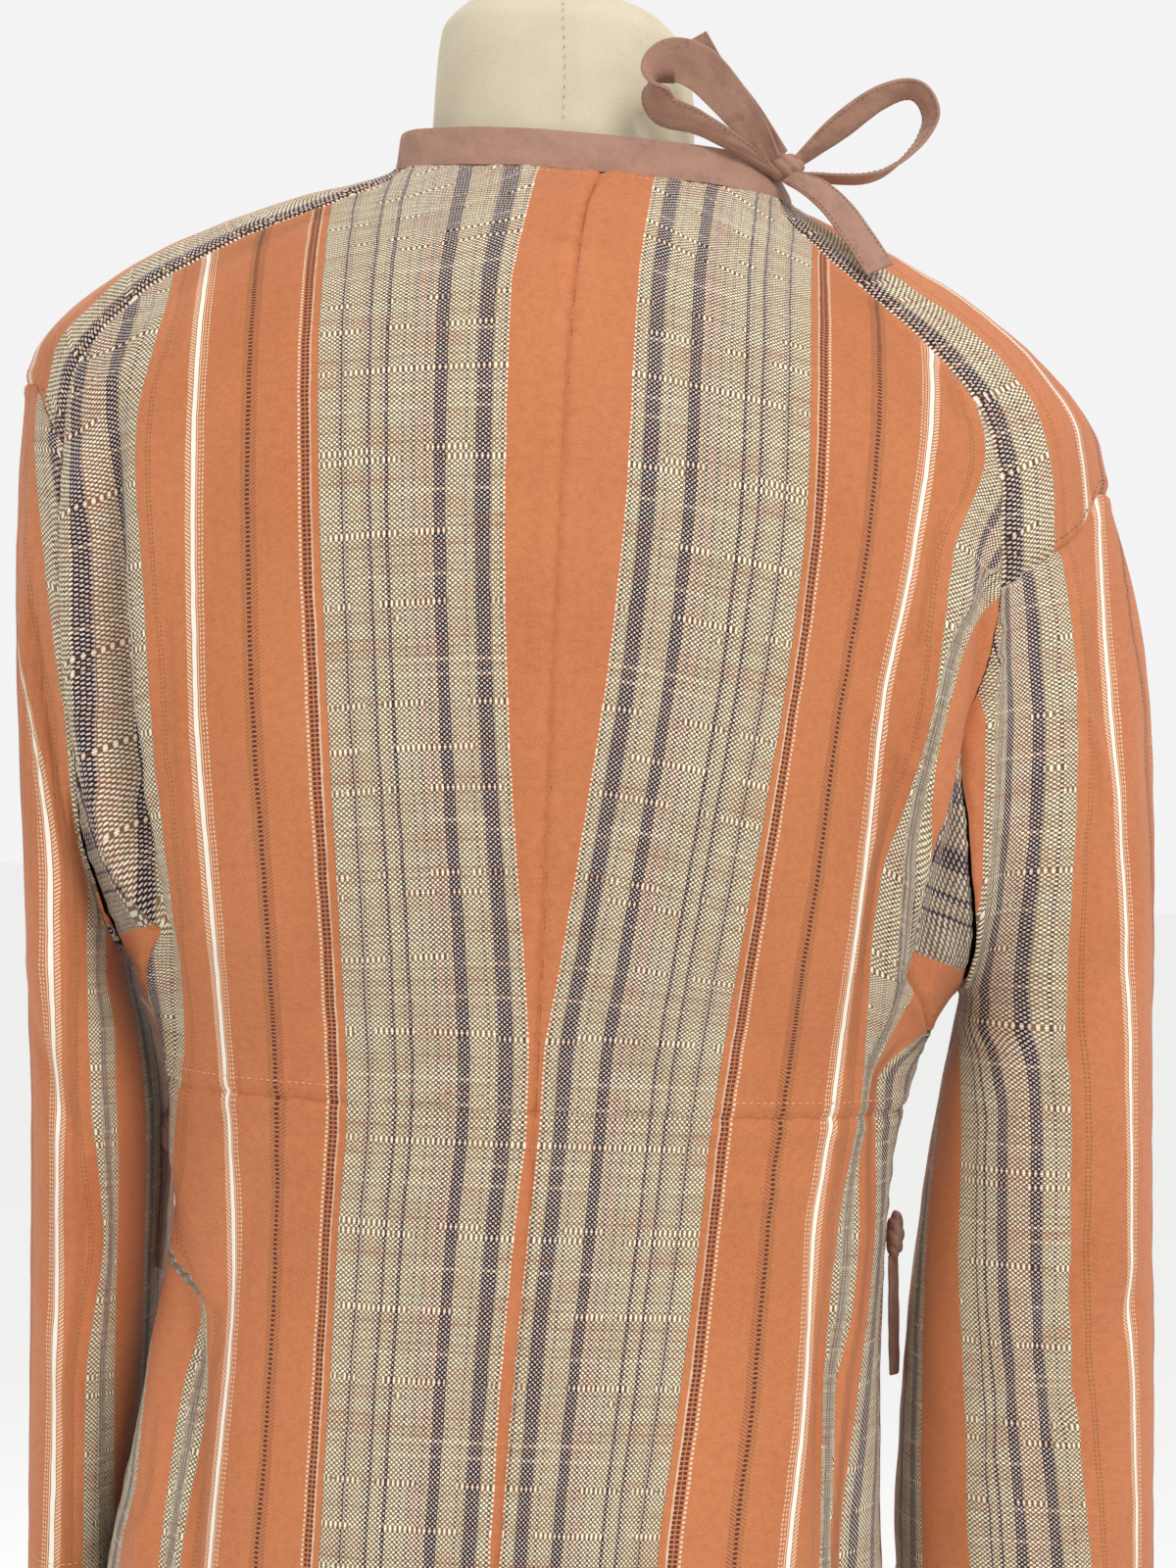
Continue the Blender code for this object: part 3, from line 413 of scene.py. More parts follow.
# Shader sums written as Python expressions
class Field:
    def __init__(self, graph, socket):
        self.graph, self.socket = graph, socket

    def sum(self, operation, *others):
        return self.graph.add("ShaderNodeMath", {"operation": operation}, dict(enumerate((self, *others))))

    def __add__(self, other):
        return self.sum("ADD", other)

    def __sub__(self, other):
        return self.sum("SUBTRACT", other)

    def __mul__(self, other):
        return self.sum("MULTIPLY", other)

    def __truediv__(self, other):
        return self.sum("DIVIDE", other)

    def __rsub__(self, other):
        return self.graph.add("ShaderNodeMath", {"operation": "SUBTRACT"}, {0: other, 1: self})

    __radd__, __rmul__ = __add__, __mul__

    def __gt__(self, other):
        return self.sum("GREATER_THAN", other)

    def __lt__(self, other):
        return self.sum("LESS_THAN", other)

    def __mod__(self, other):
        return self.sum("MODULO", other)

    def sine(self):
        return self.sum("SINE")

    def floor(self):
        return self.sum("FLOOR")

    def most(self, other):
        return self.sum("MAXIMUM", other)

    def size(self):
        return self.sum("ABSOLUTE")

    def within(self, low, high):
        return (self > low) * (self < high)

    def fade(self, low, high):  # 0 below low, 1 above high
        return self.graph.add("ShaderNodeMapRange", {"interpolation_type": "SMOOTHSTEP", "clamp": True}, {0: self, 1: low, 2: high})


class Graph:
    def __init__(self, name):
        self.material = bpy.data.materials.new(name)
        self.material.use_nodes = True
        self.tree = self.material.node_tree
        self.tree.nodes.clear()

    def add(self, kind, settings=None, sockets=None, output=0):
        node = self.tree.nodes.new(kind)
        for name, value in (settings or {}).items():
            if name == "stops":
                self.setStops(node.color_ramp, value)
            else:
                setattr(node, name, value)
        for key, value in (sockets or {}).items():
            if isinstance(value, Field):
                self.tree.links.new(value.socket, node.inputs[key])
            elif isinstance(value, tuple) and len(value) == 3 and node.inputs[key].type == "RGBA":
                node.inputs[key].default_value = (*value, 1.0)
            else:
                node.inputs[key].default_value = value
        return Field(self, node.outputs[output]) if len(node.outputs) else None

    def setStops(self, ramp, stops):
        ramp.interpolation = "CONSTANT"
        while len(ramp.elements) < len(stops):
            ramp.elements.new(0.5)
        for k, (position, colour) in enumerate(stops):
            ramp.elements[k].position = position
        for k, (position, colour) in enumerate(stops):
            ramp.elements[k].color = (*colour, 1.0)

    def mix(self, share, first, second):
        return self.add("ShaderNodeMix", {"data_type": "RGBA"}, {0: share, 6: first, 7: second}, output=2)

    def noise(self, place, scale, detail=2.0, roughness=0.5, kind="3D"):
        settings = {"noise_dimensions": kind}
        sockets = {"Scale": scale, "Detail": detail, "Roughness": roughness}
        sockets["W" if kind == "1D" else "Vector"] = place
        return self.add("ShaderNodeTexNoise", settings, sockets)

    def vector(self, x, y, z=0.0):
        return self.add("ShaderNodeCombineXYZ", None, {0: x, 1: y, 2: z})

    def place(self):
        return self.add("ShaderNodeTexCoord", None, None, output=3)

    def weavePlace(self):
        return self.split(self.add("ShaderNodeUVMap", {"uv_map": "UVMap"}))[:2]

    def split(self, place):
        split = self.tree.nodes.new("ShaderNodeSeparateXYZ")
        self.tree.links.new(place.socket, split.inputs[0])
        return [Field(self, output) for output in split.outputs]

    def bump(self, height, distance, strength=1.0):
        return self.add("ShaderNodeBump", None, {"Height": height, "Distance": distance, "Strength": strength})

    def surface(self, colour, roughness, normal=None, **constants):
        sockets = {"Base Color": colour, "Roughness": roughness}
        if normal is not None:
            sockets["Normal"] = normal
        sockets.update(constants)
        shader = self.add("ShaderNodeBsdfPrincipled", None, sockets)
        self.add("ShaderNodeOutputMaterial", None, {"Surface": shader})
        return self.material


def linear(code):  # a colour as written in a paint program, to the renderer's scale
    parts = [int(code[k : k + 2], 16) / 255 for k in (0, 2, 4)]
    return tuple(round(part / 12.92 if part <= 0.04045 else ((part + 0.055) / 1.055) ** 2.4, 4) for part in parts)


# The striped cloth: plain orange twill and coarse beige basket weave, in stripes that repeat every 270 mm
stripe = {
    "repeat": 270.0,
    "start": 34.0,
    "orange": linear("CC7E50"),
    "orangeDeep": linear("B3663A"),
    "beige": linear("85714E"),
    "tan": linear("835F46"),
    "beigeDot": linear("FFF4DC"),
    "rust": linear("8E5A3E"),
    "dark": linear("2C1416"),
    "darkDot": linear("E9E0D8"),
    "brown": linear("5E2E20"),
    "cream": linear("EFCFAF"),
    "ivory": linear("F7F0E0"),
    "olive": linear("8A6234"),
    "sepia": linear("8C5130"),
    "dotPitch": 2.6,
    "rowPitch": 2.3,
    "relief": 0.0005,
}
groundStops = (  # millimetres from the start of the repeat, and the ground colour from there on
    (0, "orange"), (34, "beige"), (40.4, "dark"), (48.2, "beige"), (62, "dark"), (68, "tan"), (76.7, "beige"), (89.6, "dark"), (91.1, "beige"),
    (97.8, "dark"), (99.2, "beige"), (111.1, "dark"), (112.7, "beige"), (123, "orange"), (126.3, "cream"),
    (127.2, "orange"), (213, "beige"), (226, "dark"), (232, "tan"), (242, "dark"), (247.5, "beige"),
    (253, "dark"), (254.3, "beige"), (258, "dark"), (259.3, "beige"),
)


def stripedCloth(name, paintedShade=0.0):
    g = Graph(name)
    uRaw, vRaw = g.weavePlace()
    u, v = uRaw * 1000, vRaw * 1000
    u = u + (g.noise(g.vector(u * 0.12, v * 0.05), 1.0, 2.0) - 0.5) * 1.1
    s = (u + stripe["start"] + 2 * stripe["repeat"]) % stripe["repeat"]
    stops = [(start / stripe["repeat"], stripe[colour]) for start, colour in groundStops]
    ground = g.add("ShaderNodeValToRGB", {"stops": stops}, {0: s / stripe["repeat"]})
    orange = (s < 34).most(s.within(123, 213))
    dark = 0.0
    for (start, colour), (end, _) in zip(groundStops, groundStops[1:]):
        if colour == "dark":
            dark = s.within(start, end) + dark

    # basket weave: bright dots in a brick pattern, with thicker weft rows here and there
    row = (v * (2 / stripe["rowPitch"])).floor()
    warp = (u * (2 / stripe["dotPitch"])).floor()
    byRow = g.noise(row * 0.731, 1.0, 0.0, 0.5, "1D")
    byWarp = g.noise(warp * 0.613 + 7.0, 1.0, 0.0, 0.5, "1D")
    thick = (((row + 4000) % 17) < 0.5).most(((row + 4000) % 29) < 0.5)
    slub = thick * g.noise(g.vector(u * 0.035, row * 0.37), 1.0, 2.0).fade(0.44, 0.56) * 0.9
    beads = (u * (2 * math.pi / stripe["dotPitch"])).sine()
    checks = beads * (v * (2 * math.pi / stripe["rowPitch"])).sine() * (1 - slub) + (beads + 0.22) * slub
    dots = (checks - dark * 0.12 + (g.noise(g.vector(u * 0.9, v * 0.9), 1.0, 1.0) - 0.5) * 0.8).fade(0.0, 0.26)
    patch = g.noise(g.vector(u * 0.03, v * 0.09), 1.0, 3.0, 0.6)
    basket = g.mix(patch.fade(0.5, 0.72) * 0.7 * (1 - dark), ground, stripe["rust"])
    basket = g.mix((1 - patch).fade(0.55, 0.75) * 0.6 * (1 - dark), basket, linear("75705F"))
    basket = g.mix((byRow - 0.5).fade(0.05, 0.25) * 0.6 * (1 - dark * 0.5), basket, linear("7A4A30"))
    basket = g.mix((byWarp - 0.5).fade(0.05, 0.2) * 0.85 * (1 - dark), basket, linear("4E3B33"))
    basket = g.mix(slub * 0.65, basket, stripe["rust"])
    dotColour = g.mix(dark, stripe["beigeDot"], stripe["darkDot"])
    dotColour = g.mix((patch.fade(0.35, 0.7) * 0.3 + (byRow - 0.5).fade(0.0, 0.3) * 0.3) * (1 - slub), dotColour, linear("B98F70"))
    dotColour = g.mix(slub * 0.8, dotColour, linear("F7EDCF"))
    basket = g.mix(dots * (0.97 - dark * 0.12), basket, dotColour)

    # orange twill, and the fancy stripes on it
    beat = (v * (2 * math.pi / 2.2)).sine()
    lean = ((v - s * 0.9) * (2 * math.pi / 2.0)).sine()
    leanBack = ((v + s * 0.7) * (2 * math.pi / 1.8)).sine()
    twill = ((u + v) * (2 * math.pi / 1.05)).sine()
    mottle = g.noise(g.vector(u * 0.25, v * 0.25), 1.0, 3.0, 0.65)
    worn = g.noise(g.vector(u * 0.012, v * 0.008), 1.0, 3.0, 0.55).fade(0.35, 0.7)
    fleck = g.noise(g.vector(u * 1.6, v * 0.8), 1.0, 2.0, 0.6)
    fancy = g.mix(mottle.fade(0.35, 0.75) * 0.4 + (twill + 1) * 0.1 + worn * 0.35, ground, stripe["orangeDeep"])
    fancy = g.mix((fleck - 0.5).fade(0.02, 0.22) * 0.3, fancy, linear("E2A072"))
    fancy = g.mix((0.44 - fleck).fade(0.0, 0.18) * 0.35, fancy, linear("9A5028"))
    marks = (
        (s.within(127.5, 131.3) * ((s - 129.4).size() > 0.28) * (beat > -0.45), "brown"),
        (s.within(131.9, 133.1) * (beat > -0.2), "cream"),
        (s.within(153.0, 156.2) * (leanBack > 0.25) * 0.75, "sepia"),
        (s.within(156.2, 158.2) * (beat > -0.35), "brown"),
        (s.within(158.2, 160.8) * (leanBack > 0.15) * 0.7, "olive"),
        (s.within(179.0, 179.8).most(s.within(180.6, 181.3)) * (beat > -0.3) * 0.85, "cream"),
        (s.within(182.0, 182.5) * 0.9, "cream"),
        (s.within(183.0, 185.2), "ivory"),
        (s.within(185.6, 188.0) * (lean > -0.15) * 0.9, "cream"),
        (s.within(205.2, 206.0).most(s.within(206.9, 207.6)) * (beat > 0.0) * 0.8, "olive"),
    )
    raised = 0.0
    for mask, colour in marks:
        fancy = g.mix(mask, fancy, stripe[colour])
        raised = mask + raised

    # painted shade: the beige weave is darkened towards grey-blue where the cloth lies in shadow under the arm
    basket = g.mix(paintedShade, basket, linear("4A4048"))
    colour = g.mix(orange, basket, fancy)
    height = orange * (twill * 0.14 + raised * 0.3 + mottle * 0.16 + fleck * 0.14 + 0.4) + (1 - orange) * (dots * 0.55 + slub * 0.5)
    roughness = 0.86 - orange * 0.2 - raised * 0.06
    normal = g.bump(height, stripe["relief"], 0.9)
    return g.surface(colour, roughness, normal, **{"Sheen Weight": 0.08, "Sheen Roughness": 0.5, "Specular IOR Level": 0.3})


striped = stripedCloth("stripedCloth")
# the gusset's copy of the cloth carries painted shade for the shadow under the arm
gussetClothPaintedShade = stripedCloth("gussetClothPaintedShade", 0.35)
print("striped cloth charted")


# How the cloth's own rule, in metres across its stripes, lies on the back: each line is a place on the rule with its
# heights and distances out. Where two lines stand closer than the cloth between them, the rest of it is in a fold
backLines = {
    right: (
        (0.000, ((1.474, 0.0385), (1.461, 0.0367), (1.408, 0.0318), (1.315, 0.0306), (1.242, 0.0265), (1.169, 0.0189),
                 (1.096, 0.0099), (1.050, 0.0042), (1.019, 0.0037), (0.969, 0.0009), (0.898, -0.0030), (0.660, -0.0090))),
        (0.089, ((1.474, 0.1170), (1.417, 0.1135), (1.322, 0.1142), (1.249, 0.1097), (1.175, 0.1012), (1.100, 0.0918),
                 (1.021, 0.0829), (0.971, 0.0796), (0.899, 0.0733), (0.829, 0.0662), (0.660, 0.0600))),
        (0.150, ((1.440, 0.1660), (1.406, 0.1704), (1.366, 0.1719), (1.291, 0.1645), (1.215, 0.1523), (1.140, 0.1485),
                 (1.092, 0.1451), (1.021, 0.1397), (0.970, 0.1344), (0.896, 0.1330), (0.825, 0.1278), (0.660, 0.1200))),
        (0.179, ((1.440, 0.1800), (1.378, 0.1890), (1.340, 0.1980), (1.293, 0.1840), (1.217, 0.1773), (1.179, 0.1684),
                 (1.140, 0.1575), (1.102, 0.1550), (1.044, 0.1552), (0.969, 0.1464), (0.895, 0.1440), (0.660, 0.1440))),
        (0.236, ((1.330, 0.2600), (1.290, 0.2250), (1.257, 0.1938), (1.218, 0.1836), (1.179, 0.1785), (1.141, 0.1797),
                 (1.092, 0.1794), (1.044, 0.1598), (1.000, 0.1560), (0.967, 0.1579), (0.930, 0.1560), (0.894, 0.1496),
                 (0.660, 0.1500))),
        (0.270, ((1.100, 0.2400), (1.060, 0.1800), (1.043, 0.1624), (0.965, 0.1664), (0.892, 0.1608), (0.821, 0.1538),
                 (0.660, 0.1520))),
    ),
    left: (
        (0.000, ((1.474, 0.0170), (1.461, 0.0190), (1.403, 0.0264), (1.310, 0.0245), (1.238, 0.0208), (1.167, 0.0146),
                 (1.096, 0.0067), (1.050, 0.0031), (1.023, 0.0028), (0.968, 0.0059), (0.897, 0.0089), (0.660, 0.0135))),
        (0.089, ((1.474, 0.1155), (1.397, 0.1150), (1.303, 0.1098), (1.232, 0.1036), (1.162, 0.0972), (1.091, 0.0907),
                 (1.018, 0.0859), (0.963, 0.0876), (0.660, 0.0880))),
        (0.150, ((1.460, 0.1720), (1.395, 0.1721), (1.337, 0.1710), (1.264, 0.1675), (1.193, 0.1626), (1.123, 0.1551),
                 (1.050, 0.1478), (1.008, 0.1431), (0.957, 0.1387), (0.921, 0.1369), (0.815, 0.1401), (0.660, 0.1430))),
        (0.179, ((1.460, 0.1850), (1.395, 0.1900), (1.336, 0.1991), (1.262, 0.1912), (1.192, 0.1839), (1.122, 0.1749),
                 (1.047, 0.1680), (1.001, 0.1741), (0.944, 0.1760), (0.919, 0.1508), (0.883, 0.1485), (0.811, 0.1555),
                 (0.660, 0.1600))),
        (0.236, ((1.030, 0.2600), (0.990, 0.2200), (0.943, 0.1846), (0.918, 0.1545), (0.880, 0.1617), (0.808, 0.1670),
                 (0.660, 0.1700))),
        (0.270, ((1.030, 0.3000), (0.990, 0.2500), (0.943, 0.1915), (0.904, 0.1824), (0.838, 0.1817), (0.800, 0.1884),
                 (0.660, 0.1950))),
    ),
}
swingRows = ((1.474, 0.0125), (1.463, 0.0090), (1.449, 0.0050), (1.435, 0.0020), (1.416, 0.0), (0.640, 0.0))


def seamSwing(z):  # the neck pulls the centre back seam towards the wearer's right
    return read(swingRows, 1, z)


def ruled(reach, marks):  # the rule at a reach, from marks of a rule and its own reach, slack taken up in folds
    total = marks[0][0] + reach - marks[0][1]
    for (rule, at), (nextRule, nextAt) in zip(marks, marks[1:]):
        rise, span = nextRule - rule, np.maximum(nextAt - at, 0.0002)
        away = reach - at
        true = 0.006 if rule > 0.14 else 0.0  # the white group keeps its width
        share = np.clip((away - true) / np.maximum(span - true, 0.0002), 0, 1)
        even = np.where(away < true, rule + away, rule + true + (rise - true) * share)
        folded = rule + away + (rise - span) * np.clip((away - span / 2) / np.clip(span, 0.0004, 0.0044) + 0.5, 0, 1)
        inside = np.where((rise > 1.22 * span) & (rule > 0.14), folded, even)
        total = np.where(reach >= at, inside, total)
    return np.where(reach >= marks[-1][1], marks[-1][0] + reach - marks[-1][1], total)


def risen(points):  # metres up from the lowest row, along each column
    down = lengthsDown(points)
    return down[-1:] - down


def backWeave(side):
    def weave(points):
        across = lengthsAcross(points)
        out = side * points[..., 0]
        marks = []
        for rule, table in backLines[side]:
            at = read(table, 1, points[..., 2])
            reach = np.stack([np.interp(at[i], out[i], across[i]) for i in range(len(out))])
            beyond = np.maximum(at - out.max(axis=1, keepdims=True), 0) + np.minimum(at - out[:, :1], 0)
            marks.append((rule, reach + beyond))
        return np.stack([ruled(across, marks), risen(points)], axis=-1)

    return weave


def frontWeave(points):  # the stripes hang straight down from the middle of the front
    across = lengthsAcross(points)
    x = points[..., 0]
    way = np.sign(x[0, -1] - x[0, 0])
    middle = np.array([np.interp(0.0, way * x[i], across[i]) for i in range(len(x))])[:, None]
    return np.stack([fronts["ruleAtMiddle"] - (across - middle), risen(points)], axis=-1)


def straightWeave(points):
    return np.stack([lengthsAcross(points), lengthsDown(points)], axis=-1)


# Back panels
backPanels = {"columns": 112, "rowsUpper": 172, "rowsLower": 130}


def fineEnds(count, size):  # even shares of a size in metres, with a few more close to both ends for the seam
    close = np.array([0.0, 0.0005, 0.0011, 0.0019, 0.0030, 0.0044]) / size
    return np.concatenate([close, np.linspace(0.0062 / size, 1 - 0.0062 / size, count - 12), 1 - close[::-1]])


def seamTurn(z, side):  # the centre back seam swings towards the wearer's right at the neck
    return side * np.sign(seamSwing(z)) * turnAt(seamSwing(z), z, right)


for side, word in ((left, "left"), (right, "right")):
    edge = np.concatenate([saddleSeam(side), backOuter(side)[1:]])
    edge = resampled(edge, backPanels["rowsUpper"])
    share = fineEnds(backPanels["columns"], 0.19)[None, :]
    inner = seamTurn(edge[:, 1], side)[:, None]
    turns = inner + (edge[:, :1] - inner) * share
    upper = np.stack([turns, edge[:, 1:] + 0 * turns], axis=-1)
    clothPanel("cloth_back_upper_" + word, upper, side, backWeave(side), ("start", "end", "top", "foot"), 3 + side)
    heights = np.linspace(body["waistZ"], body["hemZ"], backPanels["rowsLower"])[:, None]
    turns = 90 * share + 0 * heights
    lower = np.stack([turns, heights + 0 * turns], axis=-1)
    clothPanel("cloth_back_lower_" + word, lower, side, backWeave(side), ("start", "end", "top"), 6 + side)
print("back panels laid")


# Saddles: the stripes run along the seam with the back, dark stripe first
saddle = {"rows": 104, "columnsHalf": 58, "ruleAtSeam": 0.1992, "ruleAtEdge": 0.179}
beigeOnSaddle = {  # width of the beige beside the seam: height, width
    right: ((1.460, 0.019), (1.425, 0.024), (1.400, 0.030), (1.360, 0.033), (1.280, 0.033)),
    left: ((1.460, 0.028), (1.425, 0.032), (1.400, 0.030), (1.370, 0.025), (1.310, 0.022)),
}


def saddleWeave(side):
    def weave(points):
        across = lengthsAcross(points)
        wide = read(beigeOnSaddle[side], 1, points[:, :1, 2])
        near = saddle["ruleAtSeam"] - (saddle["ruleAtSeam"] - saddle["ruleAtEdge"]) * across / wide
        rule = np.where(across < wide, near, saddle["ruleAtEdge"] - (across - wide))
        down = lengthsDown(points)[:, 0][:, None]
        return np.stack([rule, -down + 0 * across], axis=-1)

    return weave


for side, word in ((left, "left"), (right, "right")):
    seamLine = resampled(saddleSeam(side), saddle["rows"])
    cap = capSeam(side)
    end = np.concatenate([cap[::-1], np.stack([180 - cap[1:, 0], cap[1:, 1]], axis=-1)])
    end = resampled(end, 2 * saddle["columnsHalf"])
    neckTurns = np.linspace(seamLine[0, 0], 180 - seamLine[0, 0], len(end))
    first = np.stack([neckTurns, np.full(len(end), body["neckZ"])], axis=-1)
    front = np.stack([180 - seamLine[:, 0], seamLine[:, 1]], axis=-1)
    grid = patch(seamLine, front, first, end)
    clothPanel("cloth_saddle_" + word, grid, side, saddleWeave(side), ("start", "end", "top", "foot"), 9 + side)
print("saddles laid")


# Gussets, cut across the stripes
gusset = {"rows": 150, "columns": 34, "ruleAtFoot": 0.236, "footZ": 1.099, "slant": 0.5}
for side, word in ((left, "left"), (right, "right")):
    inner, outer = gussetInner(side), gussetOuter(side)
    inner = resampled(np.concatenate([inner, mirrored(inner)[1:]]), gusset["rows"])
    outer = resampled(np.concatenate([outer, mirrored(outer)[1:]]), gusset["rows"])
    share = np.linspace(0, 1, gusset["columns"])[None, :, None]
    grid = inner[:, None] + (outer - inner)[:, None] * share
    grid = grid[2:-2]

    def acrossWeave(points, side=side):
        rise = points[..., 2] - gusset["footZ"] + 0.35 * (side * points[..., 0] - 0.195)
        rule = gusset["ruleAtFoot"] - np.where(rise > 0, gusset["slant"] * rise, rise)
        return np.stack([rule, lengthsAcross(points)], axis=-1)

    name = "cloth_gusset_" + word
    clothPanel(name, grid, side, acrossWeave, ("start", "end"), 12 + side, finish=gussetClothPaintedShade)
print("gussets laid")


# Fronts: the over-front wraps to the wearer's right, above the under-front
fronts = {
    "rows": 170, "columnsOver": 170, "columnsUnder": 96, "ruleAtMiddle": 0.045, "step": 0.0047, "stepStart": 130,
    "stepSpan": 22, "underEdge": 195,
}
freeEdge = (  # height and turn
    (1.474, 137), (1.463, 143), (1.450, 149), (1.430, 152), (1.350, 152), (1.250, 150), (1.150, 147), (1.100, 139),
    (1.060, 124), (1.030, 114), (1.000, 107), (0.900, 103), (0.665, 103),
)
binding = {"turn": 5.5, "columns": 14, "wall": 0.0018}


def overEdge(z):
    return 360 - read(freeEdge, 1, z)


def overStep(turn):
    return fronts["step"] * rounded((turn - fronts["stepStart"]) / fronts["stepSpan"])


def frontGrid(side, free, columns):
    sideLine = [(90, z) for z in np.linspace(body["gussetFootZ"], body["hemZ"], 60)[1:]]
    back = np.concatenate([saddleSeam(side), backOuter(side)[1:-1], sideLine])
    start = resampled(np.stack([180 - back[:, 0], back[:, 1]], axis=-1), fronts["rows"])
    top = neckZ(free(body["neckZ"]))
    z = top - (top - body["hemZ"]) * (body["neckZ"] - start[:, 1]) / (body["neckZ"] - body["hemZ"])
    end = np.stack([free(z) + 0 * z, z], axis=-1)
    turns = np.linspace(start[0, 0], end[0, 0], columns)
    first = np.stack([turns, neckZ(turns)], axis=-1)
    last = np.stack([np.linspace(90, end[-1, 0], columns), np.full(columns, body["hemZ"])], axis=-1)
    return patch(start, end, first, last), end


overGrid, overFree = frontGrid(left, overEdge, fronts["columnsOver"])
clothPanel("cloth_front_over", overGrid, left, frontWeave, ("start", "top"), 15, lift=overStep(overGrid[..., 0]))
underGrid = frontGrid(right, lambda z: fronts["underEdge"], fronts["columnsUnder"])[0]
clothPanel("cloth_front_under", underGrid, right, frontWeave, ("start", "top"), 17)
print("fronts laid")


# Plain mauve cotton for the bands and ties
def mauveCotton():
    g = Graph("mauveCotton")
    place = g.place()
    cloudy = g.noise(place, 60.0, 4.0, 0.6)
    fine = g.noise(place, 2600.0, 1.0, 0.5)
    streak = g.noise(place, 380.0, 2.0, 0.5)
    wrinkleAndShade = g.noise(place, 130.0, 3.0, 0.6)
    colour = g.mix(cloudy.fade(0.35, 0.7) * 0.5, linear("A37C69"), linear("8A6554"))
    # painted shade: the colour darkens in the wrinkle valleys, where the bump is lowest
    colour = g.mix((0.5 - wrinkleAndShade).fade(0.02, 0.2) * 0.4, colour, linear("7E5C4D"))
    colour = g.mix((fine - 0.5).fade(0.0, 0.2) * 0.3, colour, linear("BA9480"))
    normal = g.bump(fine * 0.3 + streak * 0.4 + wrinkleAndShade * 2.2, 0.0005, 0.85)
    return g.surface(colour, 0.8 - streak * 0.08, normal, **{"Sheen Weight": 0.1, "Specular IOR Level": 0.3})


mauve = mauveCotton()
bindingGrid = np.stack([
    np.stack([overFree[8:, 0] + binding["turn"] * share, overFree[8:, 1]], axis=-1)
    for share in np.linspace(0, 1, binding["columns"])], axis=1)
lift = overStep(bindingGrid[..., 0])
shape = np.sin(np.pi * np.clip(np.linspace(0, 1, binding["columns"]), 0.04, 0.96))[None, :] ** 0.5 * 0.0008
base = bodyPoint(-bindingGrid[..., 0], bindingGrid[..., 1], lift + shape - 0.0003)
piece = laidGrid("cloth_front_binding", base, straightWeave(base), bodyMiddle, binding["wall"])
flat, area = sheetSize(base)
finished(piece, mauve, ["front_binding"])
print("binding laid")

# Neck band: a doubled bias strip with a slanting join
band = {
    "start": -256, "end": 84, "columns": 340, "rows": 16, "height": 0.0180, "lift": 0.0011, "frontLift": 0.0020,
    "liftStart": 95, "liftSpan": 45, "joinX": 0.030, "wall": 0.0018, "tuck": 0.0012,
}
turns = np.linspace(band["start"], band["end"], band["columns"])[None, :]
share = np.linspace(0, 1, band["rows"])[:, None]
foot = neckZ(turns) + band["lift"] + band["frontLift"] * rounded((np.abs(turns) - band["liftStart"]) / band["liftSpan"])
z = foot - band["tuck"] + (band["height"] + band["tuck"]) * share
turns = turns + 0 * z
flatBand = plainPoint(turns, z)
plump = 0.0006 * np.sin(np.pi * share) ** 0.5 - 0.0010 * bell(share, 0.12)
join = bell(flatBand[..., 0] - band["joinX"] - (share - 0.5) * 0.014, 0.0012) * (np.cos(np.radians(turns)) > 0)
ripple = 0.00035 * murmur(turns * 0.35, share * 5, 1.2) + 0.0005 * murmur(turns * 0.12, share * 2, 3.3)
points = plainPoint(turns, z) + outward(turns, z) * (plump + ripple - 0.0008 * join)[..., None]
piece = laidGrid("cloth_neck_band", points, straightWeave(points), bodyMiddle, band["wall"])
flat, area = sheetSize(points)
finished(piece, mauve, ["neck_band"])
print("neck band laid")


# Sleeves
sleeve = {
    "power": 2.2, "lean": {right: 0.25, left: -0.05}, "drop": 0.75, "reach": {right: 0.33, left: 0.24}, "landing": 0.8,
    "clearance": 0.0037, "columns": 203, "rowsCap": 62, "rowsLow": 76, "slack": 0.009, "slackSpan": 0.040,
}
sleeveRows = {  # height, outer and inner distance from the centre, middle depth, half depth
    right: ((1.080, 0.3025, 0.2120, 0.004, 0.062), (1.000, 0.3080, 0.2010, 0.010, 0.060),
            (0.900, 0.3150, 0.1935, 0.018, 0.058), (0.830, 0.3195, 0.1930, 0.024, 0.057),
            (0.755, 0.3245, 0.1980, 0.030, 0.056)),
    left: ((1.080, 0.2540, 0.2110, 0.016, 0.078), (1.000, 0.2535, 0.1890, 0.036, 0.080),
           (0.900, 0.2520, 0.1900, 0.050, 0.080), (0.830, 0.2505, 0.1960, 0.056, 0.079),
           (0.755, 0.2480, 0.2035, 0.060, 0.078)),
}
sleeveCreases = {  # turn round the sleeve and height at the top and the foot, width in degrees, depth: 0 is outermost, 90 the back
    right: ((40, 1.290, 120, 1.180, 13, -0.0050), (25, 1.265, 75, 1.150, 12, 0.0030), (60, 1.120, 140, 1.000, 14, -0.0040),
            (30, 0.960, 110, 0.860, 14, -0.0035), (240, 1.240, 300, 1.100, 16, -0.0040), (230, 1.000, 310, 0.880, 16, -0.0040),
            (92, 1.300, 132, 1.150, 7, -0.0060), (112, 1.260, 150, 1.130, 7, 0.0040), (78, 1.180, 105, 1.010, 8, -0.0030),
            (70, 0.985, 118, 0.860, 7, -0.0034), (60, 0.940, 96, 0.830, 6, 0.0026),
            (58, 1.320, 98, 1.225, 7, -0.0034), (80, 1.300, 125, 1.190, 8, 0.0030), (110, 1.080, 70, 0.930, 9, -0.0022),
            (95, 0.900, 125, 0.800, 9, 0.0022)),
    left: ((40, 1.280, 110, 1.160, 13, -0.0045), (35, 1.080, 120, 0.960, 13, -0.0045), (50, 0.930, 110, 0.840, 14, 0.0030),
           (240, 1.200, 300, 1.080, 16, -0.0040), (230, 0.980, 310, 0.870, 16, -0.0040), (60, 1.330, 100, 1.200, 8, -0.0030),
           (120, 1.050, 80, 0.930, 9, 0.0022)),
}
